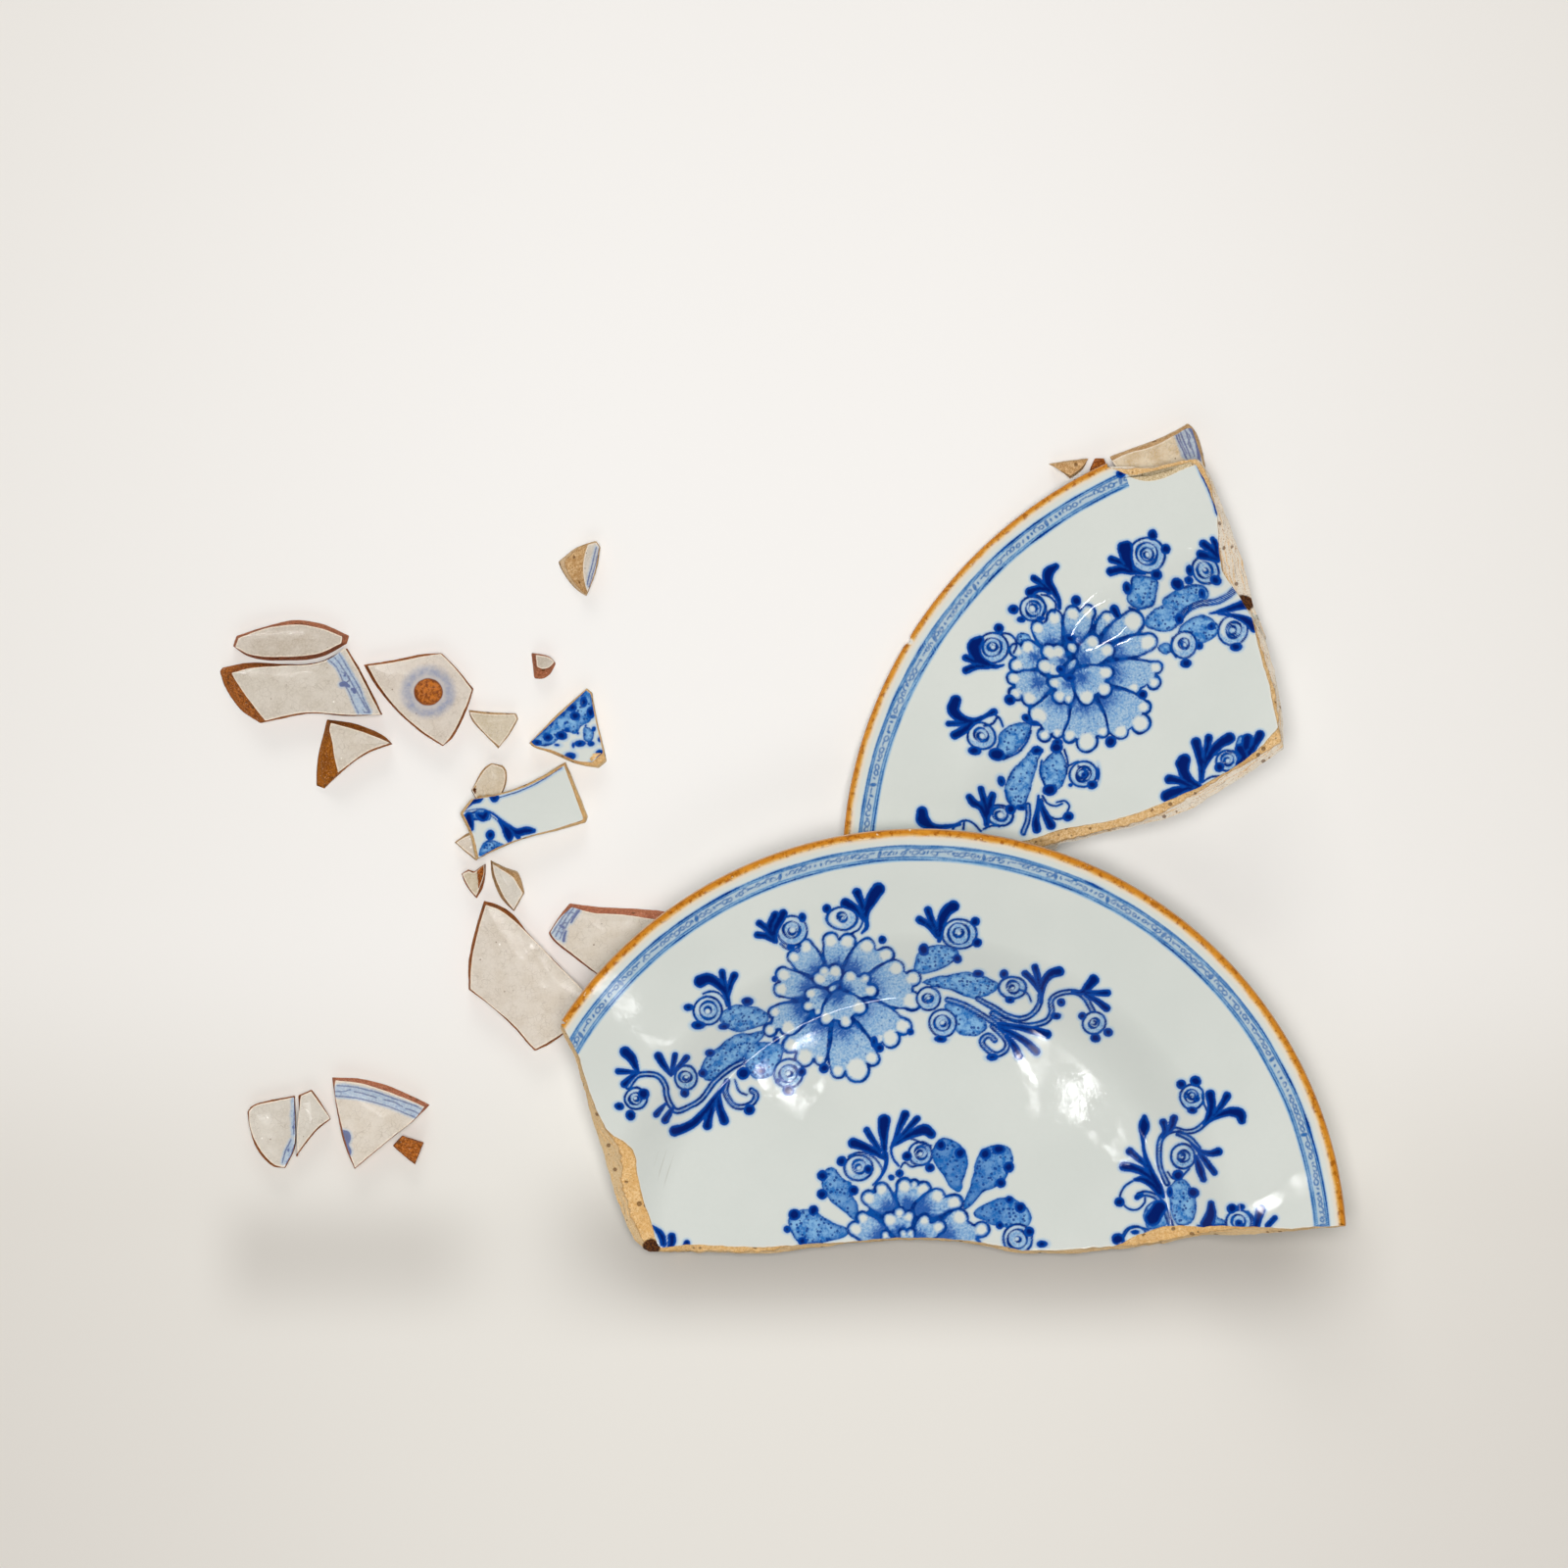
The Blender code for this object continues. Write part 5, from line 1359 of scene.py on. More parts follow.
QUARTER_COMMAS = [
    [(-88.4, 119.7, 1.6), (-91.3, 117.3, 2.4), (-91.7, 113.3, 2.2), (-89.4, 109.7, 1.6),
     (-87.4, 106.1, 1.2), (-87.1, 102.9, 1)],
    [(-97.4, 115, 1.6), (-94.2, 112.6, 1.4), (-91.4, 109.7, 1.6)],
    [(-99.1, 109.4, 2.2), (-95.4, 110.8, 1.7), (-91, 110.1, 1.4)],
    [(-119.7, 90.1, 1.8), (-122.2, 87.3, 3), (-121.4, 83.3, 2.6), (-118.2, 80.4, 2), (-113.4, 78.8, 1),
     (-110.2, 79.6, 0.5)], [(-125.8, 82.5, 1.6), (-122.6, 81.2, 1.3), (-119.4, 80, 1.2)],
    [(-125.4, 77.2, 1.8), (-121.4, 78.8, 1.6), (-116.6, 78.8, 1.2)],
    [(-129.8, 64.6, 2.5), (-130.6, 60.5, 2.6), (-127, 56.9, 1.9), (-122.2, 56.1, 1.6), (-117.8, 58.2, 1),
     (-114.4, 60.3, 1.6)], [(-132.5, 55.2, 1.4), (-128.5, 55.2, 1.3), (-123.8, 55.7, 1.2)],
    [(-130.1, 50.3, 2), (-126.5, 52.6, 1.9), (-123, 55.3, 1.6)],
    [(-61.1, 127.2, 2), (-58.3, 127.5, 2), (-58.8, 123.2, 2.4), (-57.3, 118.4, 1.8)],
    [(-60.7, 126.4, 2.4), (-59.2, 121.6, 2.2), (-56.9, 117.6, 1.6)],
    [(-65.3, 122.1, 1.7), (-61.7, 120.8, 1.4), (-57.7, 118, 1.1)],
    [(-65.8, 117.3, 2), (-61.7, 118.1, 1.8), (-57, 117, 1.4), (-51.9, 116.5, 0.7)],
    [(-27, 127.4, 1.9), (-24.3, 125.2, 1.6), (-21.8, 122.6, 1.4)],
    [(-28.5, 123.4, 1.9), (-25.4, 122.6, 1.6), (-22, 121.5, 1.2)],
    [(-23.2, 129.2, 1.2), (-22.2, 126.9, 1.6), (-22.1, 123.3, 1.4)],
    [(-27.1, 101.3, 0.4), (-20.5, 102.5, 1.4), (-12.3, 104.6, 2.2), (-9.8, 103.9, 2.4)],
    [(-23.4, 100.8, 0.4), (-16.3, 99.6, 1.2), (-10.1, 96.8, 2.2), (-8, 94.2, 2)],
    [(-43.7, 25, 2.6), (-40, 26.7, 2.3), (-35.5, 27.6, 1.6), (-31.4, 27.9, 1)],
    [(-42.6, 32, 2.1), (-38.4, 31.2, 1.8), (-33.9, 29.2, 1.4), (-31, 28.3, 1)],
    [(-36.6, 39.6, 3), (-36.5, 35.1, 2.6), (-33.9, 31.2, 2), (-30.2, 28.6, 1.4)],
    [(-37.8, 38.4, 2.6), (-36, 33.8, 2.2)],
    [(-31.8, 47.2, 2.2), (-30.5, 42.7, 2), (-29.1, 37.2, 1.6), (-29, 30.7, 1.2)],
    [(-26.5, 48.7, 2), (-27, 44.6, 1.6), (-27.9, 39.3, 1.2), (-29, 33.5, 0.8)],
    [(-17.8, 48.3, 2.6), (-21.9, 46, 2.3), (-25.9, 41.2, 1.8), (-28.7, 35.2, 1)],
    [(-13.2, 43.6, 2.4), (-11.5, 40.3, 2), (-13.5, 37.5, 1.6)],
    [(-5.1, 49.1, 2.2), (-6.7, 45.9, 1.9), (-9.1, 41.8, 1.8)], [(-10.4, 47.6, 2.4), (-10.8, 44, 2)],
    [(-119.8, 28.5, 1.4), (-118.8, 24.2, 1.4), (-118.1, 19.5, 1.6), (-118.1, 14.2, 1.2)],
    [(-115.6, 26.6, 1.4), (-116.7, 22.9, 1.6), (-117.8, 18.3, 1.6)],
    [(-124.2, 24.5, 1.6), (-122.7, 22.6, 1.8), (-119.9, 20.9, 1.6), (-118.5, 17.4, 1.4)],
    [(-142.7, 18.2, 2.4), (-142.2, 14.5, 2.8), (-138.2, 11.9, 1.6), (-131.9, 12, 1), (-127.4, 13.3, 0.7)],
    [(-97.6, 27, 0.6), (-97.9, 22, 1), (-98.6, 16.2, 1.8), (-98.1, 12.9, 2)],
    [(-97.2, 25.3, 0.8), (-94.9, 19.4, 1.6), (-92.3, 14.4, 2.2)], [(-97.2, 45.9, 1.2), (-99.1, 45.9, 2)],
    [(-65.3, 102.6, 2), (-64.4, 100.5, 1.6)],
]
QUARTER_DOTS = [
    (-60.5, 156.7, 2.2, 1.8), (-106, 102.2, 2.4, 2), (-102.8, 98.2, 2, 1.4), (-112.1, 94.6, 2.2),
    (-122.2, 43.9, 2.8, 2), (-113.8, 43.1, 3.2, 2.8), (-48, 131.6, 2.2, 2.4), (-42.8, 125.9, 2.2),
    (-47.2, 116.2, 2.4, 2.2), (-59.4, 110.8, 2, 2.6), (-39.4, 112.7, 2.8, 2.4), (-34.5, 114.1, 2, 1.6),
    (-29.9, 109.1, 1.6, 2), (-39.8, 99.3, 2, 2.4), (-26.2, 95.9, 1.8), (-31, 87.8, 1.8),
    (-36.6, 80.6, 2.6, 2.2), (-15.7, 86.7, 2.8, 2), (-33.6, 117.7, 1.8, 2.2), (-23.7, 114.1, 2.4, 2),
    (-112.3, 32.5, 1.6, 2.2), (-90.6, 47, 2.8, 2.4), (-93.1, 29.3, 3.2, 2.6), (-75.2, 30.7, 2.4, 2),
    (-84.4, 31, 1), (-84.9, 17.8, 2.5, 2.2), (-109.1, 21.2, 2.2), (-80.2, 105.6, 2.2, 2.4),
    (-54.5, 68, 2.2), (-67.8, 48.6, 2.6), (-102.4, 58.6, 1.8), (-108.2, 65.4, 2.2),
    (-83.5, 90.7, 2.4, 1.8), (-88.2, 78.8, 1.8), (-85.1, 75.6, 2.4, 1.6), (-21.7, 36.1, 2.2),
    (-78.7, 35, 1.3), (-104.9, 22.1, 2.4, 1.4), (-72.9, 35.2, 1, 3.2), (-94.8, 98.5, 2, 1.2),
    (-99.5, 56.9, 2.4, 1.2), (-90.3, 49.1, 2.4, 1.6),
]

# the quarter lies tipped out about the edge of its foot ring, 100 mm from the dish's axis
lean, toward_rim, foot_ring = math.radians(22.2), math.radians(142.8), 100.0
quarter_place = np.array(
    Matrix.Translation((207.9, -12.1, 0.0))
    @ Matrix.Rotation(toward_rim, 4, "Z")
    @ Matrix.Translation((foot_ring, 0.0, 0.0))
    @ Matrix.Rotation(lean, 4, "Y")
    @ Matrix.Translation((-foot_ring, 0.0, 0.0))
    @ Matrix.Rotation(-toward_rim, 4, "Z")
)
QUARTER_SCAR = [
    (-59.5, 158.5), (-57.5, 155.8), (-53.2, 153.9), (-48.6, 153.3), (-43.4, 154.1), (-38.6, 155.8),
    (-34.2, 157.7), (-29.5, 159.6), (-30.5, 163), (-45, 163), (-58, 162),
]
dish_sherd(
    "quarter", QUARTER_GLAZE_EDGE, QUARTER_FOOT_EDGE, (112.4, 181.4), 420, 224, 1, quarter_place, 77,
    pale_break,
    {"beds": QUARTER_BEDS, "petals": QUARTER_PETALS, "leaves": QUARTER_LEAVES,
     "stems": QUARTER_STEMS, "roses": QUARTER_ROSES, "lines": QUARTER_LINES,
     "commas": QUARTER_COMMAS, "dots": QUARTER_DOTS},
    flakes=[(0, 0.2), (1, 0.8), (3.4, 0.85), (4.6, 0.05), (8.6, 0.05), (9.6, 0.25), (11, 0.62),
            (12.6, 0.66), (13.6, 0.4), (14.6, 0.14), (16, 0.2), (17, 0.6), (18, 0.86), (25, 0.86),
            (28, 0.8)],
    soot=[(-13.0, 106.0, 3.2)], flip=True, scar=QUARTER_SCAR, border_from=110.6, chip_at=149.0,
)


# --------------------------------------------------------------------
# The plain sherds, of cream-glazed ware. Thin slabs of red-brown earthenware under a warm,
# crazed and speckled glaze; some carry a border or a dot in thin cobalt. Each lies on its
# broken back, and its breaks slope out to the base.

tree, given, result = group(
    "crazed_glaze",
    [("Where", VECTOR), ("Glaze", COLOUR), ("Cloud", COLOUR), ("Lip", VALUE)],
    [("Colour", COLOUR), ("Roughness", VALUE), ("Height", VALUE)],
)
where = given["Where"]
wander = add_node(tree, "ShaderNodeTexNoise", {"Vector": where, "Scale": 300.0})
wander = add_node(tree, "ShaderNodeVectorMath",
                  {0: wander.outputs["Color"], 1: (0.0012, 0.0012, 0.0012)}, operation="MULTIPLY")
bent = add_node(tree, "ShaderNodeVectorMath",
                {0: where, 1: wander.outputs[0]}, operation="ADD").outputs[0]
cracks = add_node(tree, "ShaderNodeTexVoronoi", {"Vector": bent, "Scale": 480.0},
                  feature="DISTANCE_TO_EDGE")
crack = ramp(cracks.outputs["Distance"], 0.055, 0.015)
crack = times(crack, cloud(where, 5.0, 2.0, 0.5, 0.42, 0.6))
cloudy = cloud(where, 7.0, 4.0, 0.65, 0.36, 0.66)
fine = cloud(where, 0.8, 4.0, 0.7, 0.36, 0.66)
colour = blend(cloudy, given["Glaze"], given["Cloud"])
colour = blend(times(fine, 0.3), colour, painted(232, 222, 208))
colour = blend(times(crack, 0.28), colour, painted(150, 130, 108))
away, pick, other_pick = specks(where, 300.0)
pit = times(ramp(away, 0.14, 0.07), ramp(pick, 0.84, 0.87))
colour = blend(times(pit, 0.75), colour, painted(120, 92, 66))
pale = times(ramp(away, 0.17, 0.09), ramp(other_pick, 0.9, 0.93))
colour = blend(pale, colour, painted(246, 240, 230))
# the glaze is paler within a millimetre of the break: partly its own thickness seen at the edge, partly a
# painted highlight along the lip
lip = plus(given["Lip"], times(fine, 0.25))
colour = blend(ramp(lip, 0.55, 0.95, 0.0, 0.85), colour, painted(242, 226, 204))
tree.links.new(colour, result["Colour"])
tree.links.new(ramp(fine, 0.2, 0.9, 0.1, 0.24), result["Roughness"])
tree.links.new(less(noise(where, 2.0, 2.0), plus(pit, crack)), result["Height"])
crazed_glaze = tree

# Each glaze's colour, the colour of its clouds, and whether cobalt is brushed on it
GLAZES = {
    "cream": ((212, 201, 186), (202, 189, 171), False),
    "dull_cream": ((200, 188, 173), (188, 174, 156), False),
    "tan_cream": ((208, 193, 168), (196, 179, 150), False),
    "warm_cream": ((216, 205, 191), (207, 194, 177), False),
    "dotted_cream": ((214, 202, 188), (204, 190, 174), False),
    "cream_painted": ((208, 198, 184), (198, 187, 171), True),
    # paler than cream_painted: the fan's own tone, and on the banded wing also painted light that makes up
    # for the shade the wing lies in
    "pale_cream_painted": ((218, 207, 192), (210, 197, 179), True),
    "grey_cream": ((214, 206, 193), (204, 195, 181), True),
    "tan_painted": ((226, 206, 174), (206, 176, 132), True),
}
glazes = {"white_painted": white_painted}
for ware, (glaze, clouds, brushed) in GLAZES.items():
    tones = painted(*glaze), painted(*clouds)
    glazes[ware] = glazed_material(ware + "_glaze", crazed_glaze, *tones, brushed, rim=False)
# Each clay's colour, its darker blotches and its outer layers
CLAYS = {
    "red_brown": ((196, 116, 50), (122, 62, 20), (168, 96, 42)),
    "golden_brown": ((186, 112, 36), (126, 68, 16), (162, 94, 28)),
    "rosy": ((196, 124, 88), (140, 80, 54), (176, 108, 76)),
    "pink_brown": ((204, 132, 98), (160, 92, 66), (188, 116, 84)),
    "sandy": ((222, 186, 138), (180, 134, 80), (204, 176, 140)),
}
clays = {"buff": buff_break}
for ware, tones in CLAYS.items():
    clays[ware] = clay_material(ware + "_break", *(painted(*tone) for tone in tones))


def corner_rings(name, lean):
    """The middle of a solid's box, its face's middle, and the corners of its face and of its
    base from there, with its lean taken off. The corners are followed from triangle to
    triangle along the break, so they stay in order where the outline turns in, and each base
    corner is beside its face corner."""
    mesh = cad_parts[name].data
    points = np.empty(len(mesh.vertices) * 3)
    mesh.vertices.foreach_get("co", points)
    points, same = np.unique(np.round(points.reshape(-1, 3) * 1000, 2), axis=0, return_inverse=True)
    mesh.calc_loop_triangles()
    corners = np.empty(len(mesh.loop_triangles) * 3, np.int32)
    mesh.loop_triangles.foreach_get("vertices", corners)
    corners = same.ravel()[corners].reshape(-1, 3)
    low, high = (np.array(corner) * 1000 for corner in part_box(name))
    centre = (low + high) / 2
    points = (points - centre) @ np.array(Matrix.Rotation(lean, 3, "Y"))
    is_upper = points[:, 2] > points[:, 2].mean()
    wall = corners[(is_upper[corners].sum(1) % 3) > 0]
    sides = np.concatenate([wall[:, [0, 1]], wall[:, [1, 2]], wall[:, [2, 0]]])

    def ring_of(which):
        following = dict(sides[(is_upper[sides] == which).all(1)].tolist())
        order = [next(iter(following))]
        while len(order) < len(following):
            order.append(following[order[-1]])
        ring = points[order]
        x, y = ring[:, 0], ring[:, 1]
        clockwise = (x * np.roll(y, -1) - y * np.roll(x, -1)).sum() < 0
        return (ring[::-1] if clockwise else ring), order

    ring, used = ring_of(True)
    base, _ = ring_of(False)
    inside_ring = np.setdiff1d(np.nonzero(is_upper)[0], used)
    hub = points[inside_ring].mean(0) if len(inside_ring) else ring.mean(0)
    turns = [np.roll(base, -k, axis=0) for k in range(len(base))]
    base = min(turns, key=lambda turn: np.hypot(*(turn - ring)[:, :2].T).sum())
    return centre, hub, ring, base


def rounded(corners, segment, t):
    """Points at share t along each side of an outline: Hermite cubics that run smoothly
    through its gentle corners and straight into its sharp ones, then blunted a little."""
    step = np.roll(corners, -1, axis=0) - corners
    length = np.linalg.norm(step, axis=1, keepdims=True)
    course = step / length
    before = np.roll(course, 1, axis=0)
    halfway = (course + before) / np.maximum(np.linalg.norm(course + before, axis=1, keepdims=True), 1e-6)
    gentle = (course * before).sum(1, keepdims=True) > 0.78
    leave = np.where(gentle, halfway, course) * length
    arrive = np.where(np.roll(gentle, -1, axis=0), np.roll(halfway, -1, axis=0), course) * length
    t = t[:, None]
    line = (corners[segment] * (2 * t**3 - 3 * t**2 + 1) + leave[segment] * (t**3 - 2 * t**2 + t)
            + np.roll(corners, -1, axis=0)[segment] * (3 * t**2 - 2 * t**3) + arrive[segment] * (t**3 - t**2))
    return 0.25 * np.roll(line, 1, axis=0) + 0.5 * line + 0.25 * np.roll(line, -1, axis=0)


def small_sherd(name, glaze, clay, seed, lean=0.0, art=None, bare=(), soot=(), halo=None):
    """A small sherd between the corners of its solid's face and of its base.

    A point of the face lies on the line from its middle to its edge, at share t of the way,
    0.4 (1 - t^2) mm below the edge. Past it the glaze turns down over 0.4 mm, the break runs
    straight to the base's edge, pushed in by noise, and the underside runs back to the middle.
    """
    centre, hub, ring, base = corner_rings(name, lean)
    top, bottom = ring[:, 2].max(), base[:, 2].min()
    closed = np.vstack([ring, ring[:1]])
    length = np.r_[0, np.cumsum(np.hypot(*np.diff(closed[:, :2], axis=0).T))]
    columns = int(length[-1] / 0.42)
    steps = np.linspace(0, length[-1], columns, endpoint=False)
    segment = np.searchsorted(length, steps, side="right") - 1
    share = (steps - length[segment]) / (length[segment + 1] - length[segment])
    brim, foot = rounded(ring[:, :2], segment, share), rounded(base[:, :2], segment, share)
    course = np.roll(brim, -1, axis=0) - np.roll(brim, 1, axis=0)
    course /= np.linalg.norm(course, axis=1, keepdims=True)
    out = np.stack([course[:, 1], -course[:, 0]], 1)
    still, ragged = np.zeros(columns), 0.3

    def nicks(line, size_seed):
        """Noise of 5, 2 and 0.9 mm along a broken edge, only ever pushing it in."""
        push = grains(*line.T, still, size_seed, (5.0, 0.45), (2.0, 0.35), (0.9, 0.2))
        return line - out * (ragged * (0.5 + 0.5 * push))[:, None]

    brim, foot = nicks(brim, seed), nicks(foot, seed + 9)
    toward = hub[:2] - brim
    toward /= np.linalg.norm(toward, axis=1, keepdims=True)
    inner = brim + toward * 0.34
    rings = int(np.percentile(np.hypot(*(brim - hub[:2]).T), 80) / 0.46)
    share = np.linspace(0, 1, rings + 1)[1:]
    plan = hub[None, None, :2] * (1 - share)[:, None, None] + inner[None] * share[:, None, None]
    height = np.broadcast_to((top - 0.4 * (1 - share**2))[:, None], plan.shape[:2]).copy()
    x, y = plan[..., 0].ravel(), plan[..., 1].ravel()
    flat = np.zeros_like(x)
    sway = grains(x, y, flat, seed + 2, (11.0, 0.1), (3.0, 0.04)).reshape(height.shape)
    height += np.minimum(sway, 0.06) * np.clip(3 * (1 - share), 0, 1)[:, None] - 0.05
    gone = np.full(height.shape, 9.0)
    for patch_x, patch_y, across, upward in bare:
        spread = np.hypot((plan[..., 0] - patch_x) / across, (plan[..., 1] - patch_y) / upward)
        gone = np.minimum(gone, (spread - 1) * min(across, upward))
    gone = gone + 0.5 * grain(x, y, flat, 1.8, seed + 5).reshape(gone.shape)
    pitted = 0.15 * grain(x, y, flat, 1.0, seed + 6).reshape(gone.shape)
    height -= 0.5 * np.clip(-gone / 0.5, 0, 1) + np.where(gone < 0, pitted, 0)
    face = np.concatenate([plan, height[..., None]], -1)
    lips = [np.c_[brim + toward * step, np.full(columns, top - drop)]
            for step, drop in ((0.16, 0.08), (0.05, 0.2), (0.0, 0.42))]
    falls = np.linspace(0, 1, 13)[1:]
    walls = []
    for t in falls:
        row = np.c_[brim * (1 - t) + foot * t, np.full(columns, (top - 0.42) * (1 - t) + bottom * t)]
        push = grains(row[:, 0], row[:, 1], row[:, 2] * 1.4, seed + 12, (4.0, 0.5), (1.6, 0.35), (0.8, 0.25))
        hollow = (ragged + 0.15) * math.sin(math.pi * min(t, 0.92))
        row[:, :2] -= out * (hollow * (0.5 + 0.7 * push))[:, None]
        walls.append(row)
    under = [np.c_[foot * (1 - t) + hub[:2] * t, np.full(columns, bottom)] for t in (0.03, 0.3, 0.6)]
    sheet = np.concatenate([face, np.stack(lips), np.stack(walls), np.stack(under)], 0)
    rows = len(sheet)
    points = np.vstack([sheet.reshape(-1, 3), [[hub[0], hub[1], top - 0.45], [hub[0], hub[1], bottom]]])
    points[-2, 2] = sheet[0, :, 2].mean()
    quads = grid_faces(rows, columns, columns_close=True)[:, [0, 3, 2, 1]]
    around, beside = np.arange(columns), (np.arange(columns) + 1) % columns
    last = (rows - 1) * columns
    fans = np.concatenate([
        np.stack([np.full(columns, rows * columns), around, beside], 1),
        np.stack([last + around, np.full(columns, rows * columns + 1), last + beside], 1),
    ])
    lip_end = rings + len(lips)
    finish = np.zeros((rows - 1, columns), int)
    finish[lip_end - 1 : lip_end - 1 + len(walls)] = 1
    finish[: rings - 1][gone[:-1] < -0.05] = 1
    finish = np.concatenate([finish.ravel(), np.zeros(2 * columns, int)])
    made = {}
    if art is not None:
        field = paint_field(points[:, 0], points[:, 1])
        for outline in art.get("leaves", ()):
            paint_leaf(field, outline)
        for outline in art.get("washes", ()):
            line = curve(outline, 3, closed=True)
            lay(field, "petal_wash", slice(None), signed(field["x"], field["y"], line) - 0.5)
        for path in art.get("lines", ()):
            paint_line(field, path, 0.2)
        for path in art.get("commas", ()):
            paint_comma(field, path)
        for dot in art.get("dots", ()):
            paint_dot(field, *dot)
        on_face = np.arange(len(points)) < lip_end * columns
        on_face[-2] = True
        for key in COATS:
            made[key] = np.where(on_face, field[key], 6.0 if key != "shade" else 0.0)
    from_break = to_line(points[:, 0], points[:, 1], np.vstack([brim, brim[:1]])[::2])
    made["lip"] = np.clip(1 - from_break / 1.2, 0, 1)
    wall_depth = np.full(len(points), 0.45)
    wall_depth[lip_end * columns : (lip_end + len(walls)) * columns] = np.repeat(falls, columns)
    wall_depth[(lip_end + len(walls)) * columns :] = 1.0
    made["depth"] = wall_depth
    made["course"] = np.r_[np.tile(steps, rows), 0.0, 0.0]
    made["flake"] = np.full(len(points), 0.75)
    made["soot"] = sooted(points[:, 0], points[:, 1], soot)
    if halo is not None:
        made["halo"] = np.hypot(points[:, 0] - halo[0], (points[:, 1] - halo[1]) * 1.05)
    if glaze == "white_painted":
        # a piece of the dish's face, well inside its border
        made["reach"] = np.zeros(len(points))
    placed = kept_in(points @ np.array(Matrix.Rotation(lean, 3, "Y")).T + centre, name)
    label = name.replace("_sherd", "").replace("_chip", "") + "_piece"
    outside = glazes[glaze] if glaze else clays[clay]
    piece = make_piece(label, placed, quads, [outside, clays[clay]], marks=made, finish=finish, fans=fans)
    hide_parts(name)


small_sherd("lens_sherd", "dull_cream", "rosy", 100)
small_sherd("band_sherd", "cream_painted", "red_brown", 101, art={
    "washes": [
        [(11.2, 10.7), (16.4, 13.5), (20.1, 7.9), (24.1, 0.6), (26.9, -5.9), (29.4, -11.5), (23.7, -11.5),
         (21.7, -5.9), (18.8, 0.6), (15.2, 6.3)],
    ],
    "lines": [
        [(11.8, 10.7), (14.4, 7.9), (16.4, 4.6), (18, 1), (20.1, -2.6), (21.7, -6.3), (22.9, -9.1),
         (23.9, -11.5)],
        [(14.2, 11.5), (17.6, 7.1), (20.1, 3), (22.9, -1.8), (25.3, -5.9), (27.3, -9.5), (28.5, -11.5)],
        [(16.2, 13.1), (18.8, 8.7), (21.7, 3.8), (24.5, -1.4), (26.5, -6.3), (29, -11.1)],
        [(17.2, 5.4), (19.2, 4.6), (20.5, 2.6), (19.2, 1.4)],
        [(25.7, -9.9), (26.5, -11.1), (28.1, -11.1)],
    ],
    "commas": [
        [(17.2, 0.4, 1), (18.4, 0.6, 1.1), (20.1, -0.2, 0.6)],
        [(21.3, -1.4, 0.5), (22.3, -1.8, 0.9), (22.5, -2.8, 0.6)],
    ],
    "dots": [(18.4, 4.2, 0.6)],
})
small_sherd("hooked_sherd", "cream", "golden_brown", 102)
small_sherd("kite_sherd", "tan_cream", "sandy", 103)
small_sherd("shield_sherd", "warm_cream", "red_brown", 104)
small_sherd("banded_wing", "pale_cream_painted", "pink_brown", 105, art={
    "washes": [
        [(-17.4, 15.2), (-13.8, 13.6), (-17.4, 9.5), (-19.8, 5.5), (-21.8, 0.6), (-25.5, 3.5),
         (-23.1, 7.9), (-20.2, 12)],
    ],
    "lines": [
        [(-17.4, 14.8), (-20.2, 11.2), (-23.1, 7.1), (-25.3, 3.7)],
        [(-14.4, 13.6), (-17.8, 9.5), (-20.2, 5.5), (-22.1, 1.5)],
        [(-16.2, 14.4), (-19.4, 10), (-22.3, 5.5), (-23.9, 2.3)],
        [(-19, 11.2), (-17.8, 12.4), (-16.6, 12)], [(-21.4, 7.1), (-19.8, 8.3), (-19.4, 6.7), (-21, 5.5)],
        [(-23.5, 3.5), (-22.3, 4.7), (-21.4, 3.5)],
    ],
    "commas": [
        [(-13.8, 13.2, 0.4), (-16.2, 10.4, 0.6), (-17.4, 8.3, 0.4)],
        [(-19.6, 4.7, 0.4), (-20.2, 2.7, 0.5), (-20.6, 0.6, 0.6)], [(-21.8, 7.1, 0.5), (-20.6, 6.3, 0.6)],
    ],
})
small_sherd("striped_sherd", "grey_cream", "red_brown", 106, art={
    "washes": [
        [(8.6, 14.4), (10.4, 14.4), (10, 6.3), (9.8, -1.8), (8.6, -1.8), (8.4, 6.3)],
        [(8.8, -2.2), (10, -4.2), (10, -7.4), (8, -10.7), (6.3, -13.1), (4.7, -12.3), (5.9, -7.9)],
    ],
    "lines": [
        [(10, 14), (9.8, 7.1), (9.6, -0.2)], [(8.4, -3), (6.3, -7.4), (4.9, -12.3)],
        [(9.8, -5), (8.4, -9.1), (6.5, -12.7)],
    ],
    "dots": [(9.4, 2.3, 0.5, 0.9), (7.4, -7.4, 0.4, 0.8)],
})
small_sherd("folded_sherd", "grey_cream", "red_brown", 107, art={})
